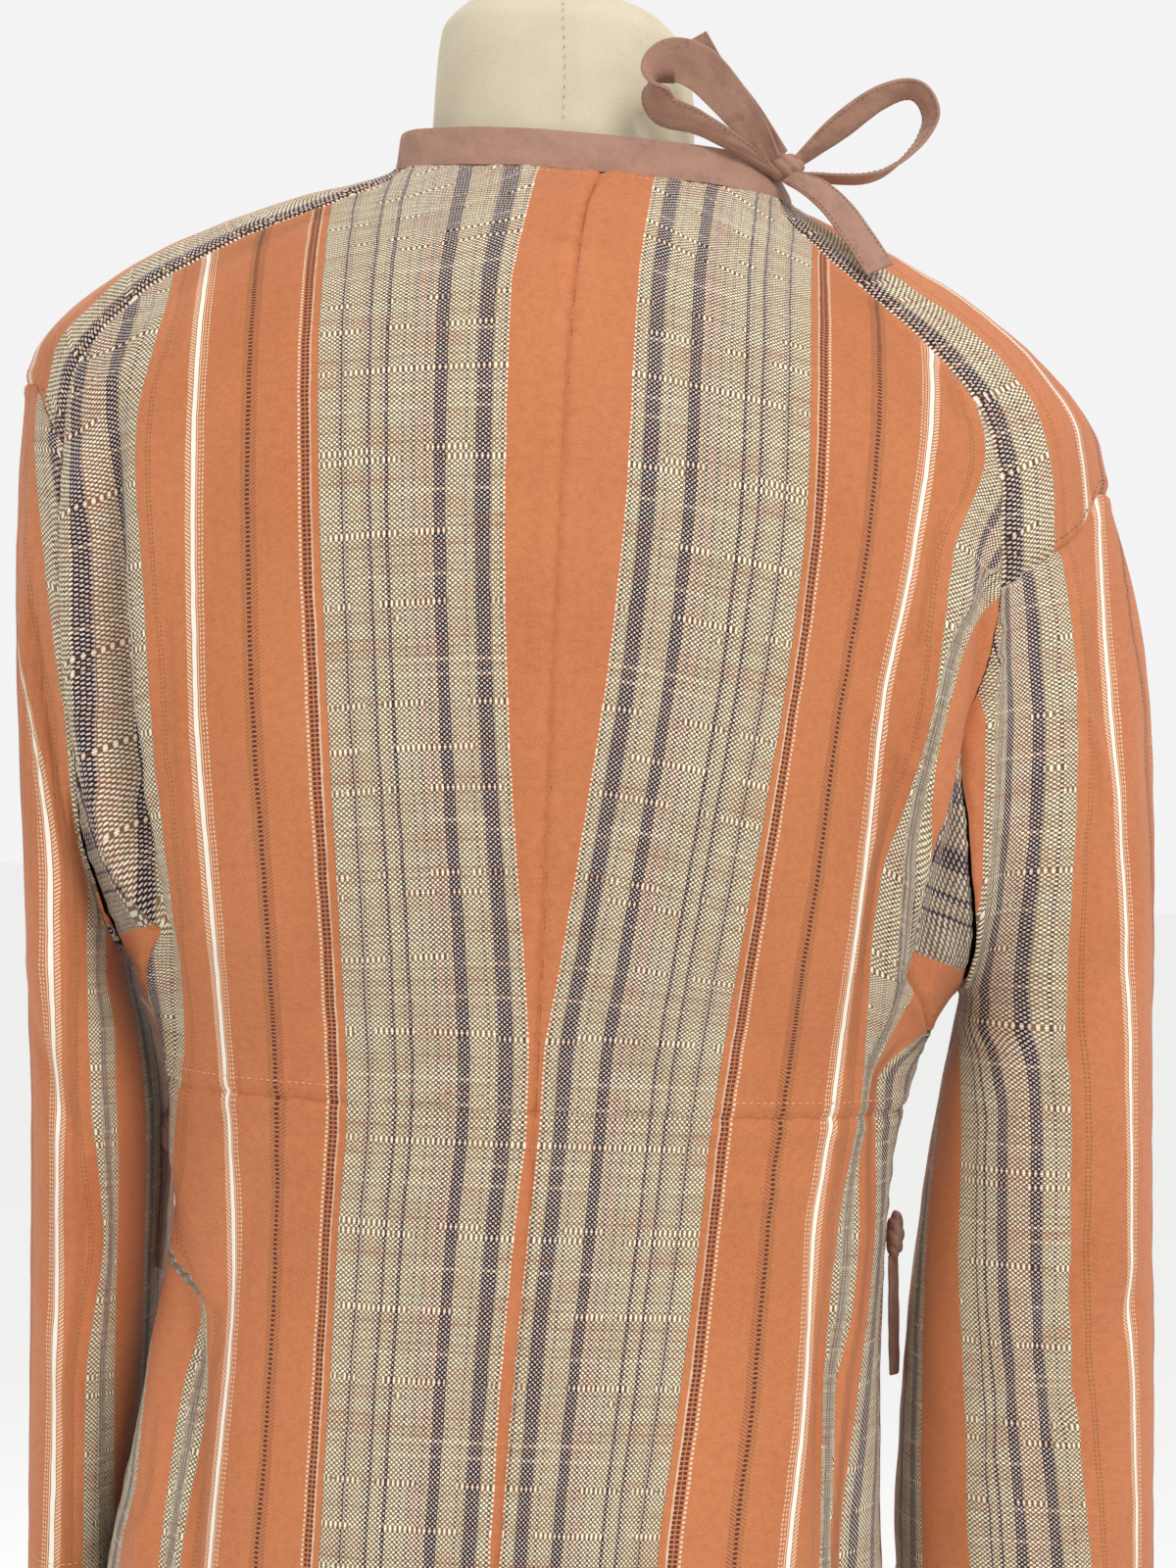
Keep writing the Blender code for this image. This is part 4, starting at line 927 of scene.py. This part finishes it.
sleeveLines = {
    right: (
        (0.150, ((1.340, 0.2580), (1.283, 0.2623), (1.217, 0.2672), (1.180, 0.2719), (1.142, 0.2774), (1.066, 0.2848),
                 (0.970, 0.2925), (0.891, 0.2990), (0.808, 0.3060), (0.755, 0.3090))),
        (0.179, ((1.340, 0.2260), (1.301, 0.2374), (1.254, 0.2473), (1.179, 0.2509), (1.104, 0.2514), (1.023, 0.2587),
                 (0.932, 0.2634), (0.815, 0.2802), (0.755, 0.2880))),
        (0.236, ((1.340, 0.1700), (1.250, 0.1900), (1.215, 0.2047), (1.138, 0.2071), (1.060, 0.2098), (0.965, 0.2108),
                 (0.889, 0.2165), (0.811, 0.2229), (0.755, 0.2280))),
    ),
    left: (
        (0.150, ((1.330, 0.2720), (1.290, 0.2700), (1.234, 0.2605), (1.195, 0.2499), (1.157, 0.2413), (1.120, 0.2360),
                 (1.045, 0.2316), (0.976, 0.2296), (0.908, 0.2288), (0.755, 0.2280))),
        (0.179, ((1.330, 0.2540), (1.290, 0.2480), (1.232, 0.2378), (1.195, 0.2312), (1.158, 0.2279), (1.120, 0.2230),
                 (1.045, 0.2166), (0.977, 0.2112), (0.948, 0.2086), (0.869, 0.2149), (0.755, 0.2150))),
        (0.236, ((1.330, 0.2200), (1.250, 0.2150), (1.158, 0.2180), (1.120, 0.2160), (1.080, 0.2140), (1.044, 0.2070),
                 (0.977, 0.2030), (0.755, 0.2040))),
    ),
}


def sleeveWeave(side, base):  # columns run from the underarm over the back to the top, then down the front
    half = base.shape[1] // 2
    out, z = side * base[..., 0], base[..., 2]
    outline = np.interp(z, z[::-1, half], out[::-1, half])
    low = len(base) - sleeve["rowsLow"] + 2
    inner = np.interp(z, z[::-1, 0], out[::-1, 0])
    ringShare = ((outline - out) / (outline - inner))[low, : half + 1][::-1]
    ringArc = (lengthsAcross(base)[low, half] - lengthsAcross(base)[low, : half + 1])[::-1]
    wide = (outline - inner) / (outline - inner)[low, half]

    def inward(distance):
        past = np.maximum(distance - (outline - inner), 0)
        return np.interp(distance / (outline - inner), ringShare, ringArc) * wide + past

    way = np.where(np.arange(base.shape[1])[None, :] <= half, 1.0, -1.0)
    reach = way * inward(outline - out)
    marks = []
    for rule, table in sleeveLines[side]:
        at = outline - read(table, 1, z)
        marks.append((rule, inward(np.maximum(at, 0.0005))))
    slack = sleeve["slack"] * rounded((marks[0][1] - reach) / sleeve["slackSpan"])  # beyond the white line, towards the front
    return np.stack([ruled(reach, marks) + slack, risen(base)], axis=-1)


def sleeveRing(side, turn, z):
    outer, inner, middle, depth = (read(sleeveRows[side], k, z) for k in (1, 2, 3, 4))
    sine, cosine = np.sin(np.radians(turn)), np.cos(np.radians(turn))
    exponent = 2 / sleeve["power"]
    x = (outer + inner) / 2 + (outer - inner) / 2 * powered(cosine, exponent)
    return np.stack([side * x, middle - depth * powered(sine, exponent), z + 0 * x], axis=-1)


def sleeveCreased(side, turn, z):
    total = np.zeros_like(z)
    for turnTop, zTop, turnFoot, zFoot, width, depth in sleeveCreases[side]:
        share = (zTop - z) / (zTop - zFoot)
        line = turnTop + (turnFoot - turnTop) * share
        fade = np.where((share > 0) & (share < 1), np.sin(np.pi * np.clip(share, 0, 1)), 0)
        total += depth * fade * bell(turn - line, width)
    return total + 0.0005 * murmur(turn * 0.09, z * 40, 1.4 + side) + 0.0003 * murmur(turn * 0.2, z * 120, 3.0)


def sleeveAxis(side):
    def axis(centres):
        return np.stack([0 * centres[:, 0] + side * 0.245, 0 * centres[:, 1] + 0.01, np.minimum(centres[:, 2], 1.25)], axis=-1)

    return axis


def unit(vectors):
    return vectors / np.linalg.norm(vectors, axis=-1, keepdims=True)


for side, word in ((left, "left"), (right, "right")):
    half = np.concatenate([capSeam(side), seam(side, backEdge[side], joinZ[side], gussetTopZ[side], 40)[1:], gussetInner(side)[1:]])
    loop = resampled(np.concatenate([half, mirrored(half)[1:]]), sleeve["columns"])
    turn, z = loop[:, 0], loop[:, 1]
    low = rounded((gussetTopZ[side] - z) / (gussetTopZ[side] - body["underarmZ"]))
    starts = bodyPoint(side * turn, z, sleeve["clearance"] * low)
    step = np.linalg.norm(np.diff(starts, axis=0), axis=1)
    roundTurn = 360 * np.concatenate([[0], np.cumsum(step)]) / step.sum()
    topZ = sleeveRows[side][0][0]
    ends = sleeveRing(side, roundTurn, np.full(len(loop), topZ))
    ahead = bodyPoint(side * (turn + np.where(turn < 90, 3, -3)), z) - starts
    blend = bell(turn - 90, 4.0)[:, None]
    ahead = unit(ahead) * (1 - blend) + unit(bodyPoint(side * turn, z - 0.01) - starts) * blend
    lead = unit(unit(ahead) + np.array([side * sleeve["lean"][side], 0, -sleeve["drop"]]))
    reach = np.linalg.norm(ends - starts, axis=1, keepdims=True) * sleeve["reach"][side]
    handles = starts, starts + lead * reach, ends + reach * sleeve["landing"] * np.array([0, 0, 1.0]), ends
    t = np.linspace(0, 1, sleeve["rowsCap"])[:, None, None]
    cap = handles[0] * (1 - t) ** 3 + handles[1] * 3 * t * (1 - t) ** 2 + handles[2] * 3 * t * t * (1 - t) + handles[3] * t**3
    lowZ = np.linspace(topZ, body["cuffZ"], sleeve["rowsLow"])[1:, None]
    tube = sleeveRing(side, roundTurn[None, :] + 0 * lowZ, lowZ + 0 * roundTurn[None, :])
    base = plain = np.concatenate([cap, tube])
    share = np.concatenate([rounded(t[:, 0] * 3), np.ones((len(tube), 1))])
    middle = base.mean(axis=1, keepdims=True)
    away = unit((base - middle) * np.array([1, 1, 0.3]))
    base = base + away * (share * sleeveCreased(side, roundTurn[None, :], base[..., 2]))[..., None]
    middleColumn = len(loop) // 2
    order = np.concatenate([np.arange(middleColumn, -1, -1), np.arange(len(loop) - 2, middleColumn - 1, -1)])
    weave = sleeveWeave(side, plain[:, order])
    down = lengthsDown(base)
    pucker = 0.0007 * bell(down - 0.006, 0.004) * (1 + murmur(roundTurn[None, :] * 1.1, down * 0, 5))
    base = (base + away * (pucker - 0.0012 * bell(down, 0.0022))[..., None])[:, order]
    piece = laidGrid("cloth_sleeve_" + word, base, weave, sleeveAxis(side), body["wall"], closed=True)
    flat, area = sheetSize(base)
    finished(piece, striped, ["sleeve_" + word])
print("sleeves hung")


# Ties: each station is the middle of the strip, its width and the way its width lies
bow = {
    "loop_left": (
        (0.0940, -0.0245, 1.4885, 0.007, 0.3, -0.5, 0.8), (0.0820, -0.0380, 1.5030, 0.016, 0.6, -0.3, 0.7),
        (0.0600, -0.0460, 1.5240, 0.021, 0.6, -0.3, 0.7), (0.0440, -0.0460, 1.5290, 0.021, 0.2, -0.4, 0.9),
        (0.0360, -0.0420, 1.5190, 0.021, 0.1, -0.6, 0.8), (0.0410, -0.0395, 1.5070, 0.017, 0.2, -0.6, 0.8),
        (0.0580, -0.0395, 1.5010, 0.012, 0.3, -0.5, 0.8), (0.0790, -0.0355, 1.4915, 0.008, 0.3, -0.5, 0.8),
        (0.0940, -0.0240, 1.4815, 0.005, 0.3, -0.5, 0.8),
    ),
    "loop_right": (
        (0.1110, -0.0222, 1.4890, 0.007, -0.3, -0.7, 0.7), (0.1280, -0.0250, 1.5050, 0.014, -0.4, -0.6, 0.7),
        (0.1480, -0.0230, 1.5210, 0.014, -0.3, -0.7, 0.6), (0.1650, -0.0200, 1.5260, 0.013, 0.2, -0.8, 0.5),
        (0.1730, -0.0190, 1.5140, 0.013, 0.5, -0.8, 0.2), (0.1640, -0.0210, 1.4960, 0.012, 0.4, -0.9, 0.1),
        (0.1440, -0.0240, 1.4820, 0.011, 0.2, -0.9, 0.2), (0.1112, -0.0225, 1.4800, 0.006, 0.1, -0.8, 0.4),
    ),
    "tail_up": (
        (0.1000, -0.0215, 1.4938, 0.007, 0.8, 0.0, 0.4), (0.0840, -0.0240, 1.5120, 0.010, 0.8, 0.0, 0.5),
        (0.0670, -0.0250, 1.5310, 0.010, 0.9, 0.0, 0.3), (0.0570, -0.0260, 1.5470, 0.009, 1.0, 0.0, 0.2),
    ),
    "tail_down": (
        (0.1055, -0.0252, 1.4788, 0.009, 0.8, 0.2, 0.6), (0.1150, -0.0430, 1.4720, 0.013, 0.8, 0.2, 0.6),
        (0.1260, -0.0550, 1.4600, 0.015, 0.9, 0.2, 0.4), (0.1370, -0.0630, 1.4440, 0.015, 0.95, 0.2, 0.3),
        (0.1470, -0.0700, 1.4280, 0.015, 0.95, 0.2, 0.3),
    ),
}
ribbon = {
    "thickness": 0.0016, "stepsEach": 14, "columns": 12, "knotTurn": 70, "knotZ": 1.484, "knotOut": 0.0099,
    "knotSize": (0.009775, 0.0062, 0.0075), "knotLean": 0.9,
}


def smoothStations(stations, steps):
    table = np.asarray(stations, float)
    made = []
    for i in range(len(table) - 1):
        a, b, c, d = (table[max(0, min(len(table) - 1, k))] for k in (i - 1, i, i + 1, i + 2))
        for t in np.arange(steps) / steps:
            made.append(b + ((c - a) * t + (2 * a - 5 * b + 4 * c - d) * t * t + (3 * b - a - 3 * c + d) * t**3) / 2)
    return np.array(made + [table[-1]])


def layRibbon(name, stations, node, seed):
    stations = np.asarray(stations, float)
    if node.startswith("bow"):  # the ends go in under the wrap
        for end in (0, -1) if "loop" in node else (0,):
            stations[end, :3] += (knotCentre - stations[end, :3]) * 0.3
    line = smoothStations(stations, ribbon["stepsEach"])
    middle = line[:, :3]
    run = unit(np.gradient(middle, axis=0))
    across = line[:, 4:7]
    across = unit(across - run * (across * run).sum(axis=1, keepdims=True))
    thick = np.cross(run, across)
    place = np.linspace(-1, 1, ribbon["columns"])[None, :]
    reach = lengthsDown(middle[:, None])
    cup = 0.0009 * (1 - place**2) + 0.0007 * murmur(reach * 160, place * 2.2, seed) * (1 - place**2) ** 0.5
    points = middle[:, None] + across[:, None] * (place * line[:, 3:4] / 2)[..., None]
    points = points + thick[:, None] * (cup - ribbon["thickness"] / 2)[..., None]
    weave = np.stack([reach + 0 * place, place + 0 * reach], axis=-1)
    piece = laidGrid(name, points, weave, lambda centres: centres - 1.0, 0)
    applyModifier(piece, "SOLIDIFY", thickness=ribbon["thickness"], offset=0.0)
    applyModifier(piece, "BEVEL", width=0.0005, segments=2, limit_method="ANGLE", angle_limit=math.radians(50))
    flat, area = sheetSize(points)
    finished(piece, mauve, [node])
    return points


def wrappedKnot(name, centre, size, node, lean):
    deselectAll()
    bpy.ops.mesh.primitive_uv_sphere_add(segments=64, ring_count=40, radius=1.0)
    piece = bpy.context.active_object
    piece.name = name
    mesh = piece.data
    flat = triples(mesh.vertices, "co")
    lines = flat[:, 2] * math.cos(lean) + flat[:, 0] * math.sin(lean)  # turns of cloth lie across the knot
    groove = np.abs(np.sin(lines * 5.2 + 0.6 * flat[:, 1])) ** 0.6
    dent = 1 - 0.17 * (1 - groove) + 0.04 * murmur(flat[:, 0] * 3, flat[:, 2] * 4, lean + 1)
    placed = flat * dent[:, None] * np.asarray(size) + np.asarray(centre)
    mesh.vertices.foreach_set("co", placed.reshape(-1))
    mesh.update()
    return finished(piece, mauve, [node], angle=80)


knotCentre = bodyPoint(ribbon["knotTurn"], ribbon["knotZ"], ribbon["knotOut"])
wrappedKnot("tie_bow_knot", knotCentre, ribbon["knotSize"], "bow_knot", ribbon["knotLean"])
ribbonLines = {}
for k, (word, stations) in enumerate(bow.items()):
    ribbonLines[word] = layRibbon("tie_bow_" + word, stations, "bow_" + word, 2.0 + k)
sideTies = {"right": (97, 0.957, 0.0042), "left": (-97, 0.995, 0.0001)}  # turn, height, distance out
sideKnot = {
    "size": (0.0048, 0.0090, 0.0125), "clear": 0.0015, "tailWidth": 0.009, "tailInKnot": 0.0030,
    "tail": ((0.0, 0.0, 0.0), (0.022, 0.0014, 0.002), (0.043, 0.0028, 0.005), (0.062, 0.0040, 0.006)),
}
for word, (turn, z, step) in sideTies.items():
    centre = bodyPoint(turn, z, step + sideKnot["clear"] + sideKnot["size"][0])
    wrappedKnot("tie_knot_" + word, centre, sideKnot["size"], "tie_" + word + "_knot", 0.3)
    out = np.sign(centre[0])
    top = centre - np.array([0, 0, sideKnot["size"][2] - sideKnot["tailInKnot"]])
    stations = [
        (top[0] + out * lean, top[1] + forward, top[2] - drop, sideKnot["tailWidth"], 0.7 * out, 1.0, 0.0)
        for drop, lean, forward in sideKnot["tail"]
    ]
    layRibbon("tie_tail_" + word, stations, "tie_" + word + "_tail", 7.0 + turn * 0.01)
print("bow and side ties tied")


# Dress form under cream canvas, with a stitched seam down the back
form = {
    "columns": 96, "rowsDome": 90, "rowsBelow": 71, "domeFootZ": 1.44, "power": 0.92, "seamDepth": 0.0009,
    "seamWidth": 0.0011,
}
formRows = (  # height, half width, depth to the back, depth to the front, shift, forward
    (1.578, 0.0200, 0.016, 0.018, -0.013, 0.031), (1.574, 0.0380, 0.032, 0.034, -0.012, 0.030), (1.566, 0.0520, 0.046, 0.046, -0.011, 0.029),
    (1.553, 0.0620, 0.055, 0.054, -0.010, 0.028), (1.525, 0.0660, 0.058, 0.056, -0.008, 0.027), (1.497, 0.0670, 0.056, 0.054, -0.0075, 0.023),
    (1.480, 0.0730, 0.055, 0.050, -0.006, 0.016), (1.466, 0.1000, 0.0570, 0.053, 0.005, 0.005), (1.453, 0.1404, 0.0680, 0.064, 0.006, 0.000),
    (1.432, 0.1831, 0.0814, 0.0705, 0.003, 0.000), (1.400, 0.2005, 0.0936, 0.0785, 0.001, 0.000), (1.360, 0.2010, 0.098, 0.081, 0.000, 0.000),
    (1.300, 0.1960, 0.101, 0.090, 0.000, 0.000), (1.200, 0.1800, 0.101, 0.100, 0.000, 0.000), (1.100, 0.1660, 0.092, 0.094, 0.000, 0.000),
    (1.020, 0.1560, 0.082, 0.086, 0.000, 0.000), (0.940, 0.1560, 0.085, 0.088, -0.001, 0.000), (0.860, 0.1620, 0.096, 0.094, -0.003, 0.000),
    (0.790, 0.1640, 0.100, 0.096, -0.005, 0.000),
)


def canvas():
    g = Graph("formCanvas")
    place = g.place()
    x, y, z = g.split(place)
    threads = (x * (2 * math.pi / 0.0011)).sine() * (z * (2 * math.pi / 0.0011)).sine()
    cloudy = g.noise(place, 34.0, 4.0, 0.6)
    lumps = g.noise(place, 900.0, 2.0, 0.5)
    colour = g.mix(cloudy.fade(0.3, 0.75) * 0.6, linear("D0C4A9"), linear("C1B497"))
    colour = g.mix(threads.fade(-0.2, 0.8) * 0.25 + lumps * 0.1, colour, linear("E7DFCB"))
    stains = g.noise(place, 70.0, 5.0, 0.7).fade(0.62, 0.76)
    colour = g.mix(stains * 0.35, colour, linear("8D7148"))
    normal = g.bump(threads * 0.4 + lumps * 0.6, 0.0003, 0.8)
    return g.surface(colour, 0.88 - lumps * 0.06, normal, **{"Sheen Weight": 0.06, "Specular IOR Level": 0.25})


formFinish = canvas()
domed = np.linspace(formRows[0][0], form["domeFootZ"], form["rowsDome"])
straight = np.linspace(form["domeFootZ"], formRows[-1][0], form["rowsBelow"])[1:]
heights = np.concatenate([domed, straight])[:, None]
turns = np.radians(np.linspace(0, 360, form["columns"] + 1))[None, :]
half, backDepth, frontDepth, shift, forward = (read(formRows, k, heights) for k in range(1, 6))
x = shift + half * powered(np.sin(turns), form["power"])
y = forward - np.where(np.cos(turns) > 0, backDepth, frontDepth) * powered(np.cos(turns), form["power"])
tilt = np.where(heights < body["neckZ"], rounded((heights - body["tiltFootZ"]) / (body["tiltTopZ"] - body["tiltFootZ"])), 1.0)
points = np.stack([x, y, heights - body["shoulderTilt"] * x * tilt], axis=-1)
groove = bell(np.minimum(turns, 2 * np.pi - turns) * half, form["seamWidth"]) * (np.cos(turns) > 0)
points[..., 1] += form["seamDepth"] * groove


def formMiddle(centres):
    return np.stack([0 * centres[:, 0], 0 * centres[:, 1] + 0.01, np.clip(centres[:, 2], 0.85, 1.5)], axis=-1)


around = np.stack([turns * 0.1 + 0 * heights, heights + 0 * turns], axis=-1)
piece = laidGrid("canvas_form", points, around, formMiddle, 0, closed=True)
bpy.ops.object.mode_set(mode="EDIT")
bpy.ops.mesh.select_all(action="DESELECT")
bpy.ops.mesh.select_non_manifold()
bpy.ops.mesh.edge_face_add()
bpy.ops.object.mode_set(mode="OBJECT")
finished(piece, formFinish, ["form_torso"], angle=60)
print("form covered")


# Stitches: one stitch repeated along a line
def threadFinish(name, colour):
    g = Graph(name)
    place = g.place()
    twist = g.noise(place, 3000.0, 1.0)
    return g.surface(g.mix(twist * 0.4, linear(colour), linear("9A5C3C")), 0.7 - twist * 0.1, g.bump(twist, 0.0002))


orangeThread = threadFinish("orangeThread", "F0B68A")
mauveThread = threadFinish("mauveThread", "7C5A4C")
stitch = {"length": 0.0024, "pitch": 0.0036, "radius": 0.00036}


def stitchRow(name, path, finish, length=stitch["length"], pitch=stitch["pitch"], radius=stitch["radius"]):
    reach = np.concatenate([[0], np.cumsum(np.linalg.norm(np.diff(path, axis=0), axis=1))])
    count = int(reach[-1] / pitch)
    at = (np.arange(count) + 0.5) * pitch
    middles = np.stack([np.interp(at, reach, path[:, k]) for k in range(3)], axis=-1)
    ahead = np.stack([np.interp(at + 0.0008, reach, path[:, k]) for k in range(3)], axis=-1)
    ways = unit(ahead - middles + 1e-9)
    deselectAll()
    bpy.ops.mesh.primitive_uv_sphere_add(segments=6, ring_count=4, radius=1.0)
    single = bpy.context.active_object
    bpy.ops.transform.resize(value=(radius, radius, length / 2))
    bpy.ops.object.transform_apply(location=False, rotation=False, scale=True)
    copies = []
    for middle, way in zip(middles, ways):
        copy = single.copy()
        copy.data = single.data.copy()
        bpy.context.collection.objects.link(copy)
        turned = Vector(way).to_track_quat("Z", "Y").to_matrix().to_4x4()
        copy.data.transform(Matrix.Translation(Vector(middle)) @ turned)
        copies.append(copy)
    bpy.data.objects.remove(single)
    deselectAll()
    for copy in copies:
        copy.select_set(True)
    bpy.context.view_layer.objects.active = copies[0]
    bpy.ops.object.join()
    piece = bpy.context.active_object
    piece.name = name
    return finished(piece, finish, [], angle=80)


wallOut = body["wall"] + 0.0002
seamThread = threadFinish("seamThread", "8A4F30")
z = np.linspace(1.466, 0.68, 500)
swung = np.sign(seamSwing(z)) * turnAt(seamSwing(z), z, right)
path = bodyPoint(swung + 0.25, z, wallOut - 0.0006)
stitchRow("stitches_centre", path, seamThread, 0.0022, 0.0026, 0.00022)
for side, word in ((left, "left"), (right, "right")):
    turns = np.linspace(0.6, 88, 220)
    path = bodyPoint(side * turns, body["waistZ"] + 0.0078 + 0 * turns, wallOut + 0.0002)
    stitchRow("stitches_waist_" + word, path, orangeThread)
    turns = np.linspace(1, 60 if side == right else 56, 160)
    path = bodyPoint(side * turns, neckZ(turns) - 0.0042, wallOut + 0.0002)
    stitchRow("stitches_neck_" + word, path, orangeThread)
    line = resampled(saddleSeam(side), 260)[12:-6]
    path = bodyPoint(side * (line[:, 0] + 1.2), line[:, 1] + 0.0016, wallOut + 0.0001)
    stitchRow("stitches_saddle_" + word, path, orangeThread)
    cap = resampled(capSeam(side), 60)
    path = bodyPoint(side * cap[:, 0], cap[:, 1] + 0.0062, wallOut + 0.0002)
    stitchRow("stitches_armhole_" + word, path, mauveThread, 0.0030, 0.0042)
    turns = np.linspace(1, 89, 240)
    path = bodyPoint(side * turns, body["hemZ"] + 0.016 + 0 * turns, wallOut)
    stitchRow("stitches_hem_" + word, path, orangeThread)
    ring = np.linspace(0, 360, 240)
    cuff = sleeveRing(side, ring, np.full(240, body["cuffZ"] + 0.018))
    middle = cuff.mean(axis=0)
    stitchRow("stitches_cuff_" + word, cuff + unit(cuff - middle) * 0.0018, orangeThread)
for word, points in ribbonLines.items():
    for k, column in (("a", 1), ("b", -2)):
        run = unit(np.gradient(points[:, column], axis=0))
        thick = unit(np.cross(run, points[:, -1] - points[:, 0]))
        path = points[3:-3, column] + thick[3:-3] * 0.0010
        stitchRow("stitches_" + word + "_" + k, path, mauveThread, 0.0018, 0.0028, 0.0002)
neckBack = np.linspace(1.500, 1.572, 60)
seamX = read(formRows, 4, neckBack) + 0.0004
seamY = read(formRows, 5, neckBack) - read(formRows, 2, neckBack)
path = np.stack([seamX, seamY - 0.0002, neckBack - body["shoulderTilt"] * seamX], axis=-1)
stitchRow("stitches_form_neck", path, mauveThread, 0.0022, 0.0050, 0.00020)
print("stitches sewn")


# Stand
def standFinish(name, colour, roughness, metallic, grain):
    g = Graph(name)
    place = g.place()
    fine = g.noise(place, grain, 3.0, 0.6)
    wear = g.noise(place, 18.0, 4.0, 0.6)
    tone = g.mix(wear.fade(0.4, 0.7) * 0.4, colour, tuple(0.6 * part for part in colour))
    return g.surface(tone, roughness + fine * 0.15 - wear * 0.08, g.bump(fine, 0.0003, 0.5), Metallic=metallic)


standParts = {  # name of the finish, colour, roughness, metal, grain
    "stand_pole": ("poleSteel", "8E8E90", 0.28, 1.0, 240.0),
    "stand_base": ("baseIron", "2C2B2C", 0.45, 0.3, 900.0),
    "stand_collar": ("collarIron", "2C2B2C", 0.4, 0.4, 900.0),
}
for node, (name, code, *values) in standParts.items():
    finish = standFinish(name, linear(code), *values)
    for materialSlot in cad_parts[node].material_slots:
        materialSlot.material = finish
print("stand finished")


# Floor, light and camera
def floorFinish():
    g = Graph("paleFloor")
    haze = g.noise(g.place(), 3.0, 2.0)
    return g.surface(g.mix(haze * 0.2, linear("FAFAF9"), linear("F2F2F0")), 0.9)


deselectAll()
bpy.ops.mesh.primitive_circle_add(vertices=128, radius=30, fill_type="NGON", location=(0, 0, -0.0005))
floor = bpy.context.active_object
floor.name = "floor"
bpy.ops.object.transform_apply()
floor.data.materials.append(floorFinish())
world = bpy.data.worlds.new("softWhite")
world.use_nodes = True
background = world.node_tree.nodes["Background"]
background.inputs["Color"].default_value = (1.0, 1.0, 1.0, 1.0)
background.inputs["Strength"].default_value = 0.9
bpy.context.scene.world = world
lights = (  # name, place, aim, size, power
    ("keyLight", (1.0, -1.5, 3.1), (0.0, 0.0, 1.15), 0.9, 30),
    ("fillLight", (-2.4, -2.2, 1.4), (0.0, 0.0, 1.15), 1.6, 3),
    ("rimLight", (-0.8, 2.2, 2.6), (0.0, 0.0, 1.2), 1.2, 14),
)
for name, place, aim, size, power in lights:
    lamp = bpy.data.lights.new(name, "AREA")
    lamp.size = size
    lamp.energy = power
    holder = bpy.data.objects.new(name, lamp)
    bpy.context.scene.collection.objects.link(holder)
    holder.location = place
    holder.rotation_euler = (Vector(aim) - Vector(place)).to_track_quat("-Z", "Y").to_euler()

view = {"place": (0.019, -1.35, 1.178), "roll": 2.5, "pixels": 2755, "tall": 1600}
camera = bpy.data.cameras.new("photoCamera")
camera.sensor_fit = "VERTICAL"
camera.sensor_height = 24
camera.lens = 24 * view["pixels"] / view["tall"]
holder = bpy.data.objects.new("photoCamera", camera)
bpy.context.scene.collection.objects.link(holder)
c, s = math.cos(math.radians(view["roll"])), math.sin(math.radians(view["roll"]))
x, y, z = view["place"]
holder.matrix_world = Matrix(((c, -s, 0, x), (0, 0, -1, y), (s, c, 0, z), (0, 0, 0, 1)))
bpy.context.scene.camera = holder
bpy.context.scene.view_settings.view_transform = "Standard"
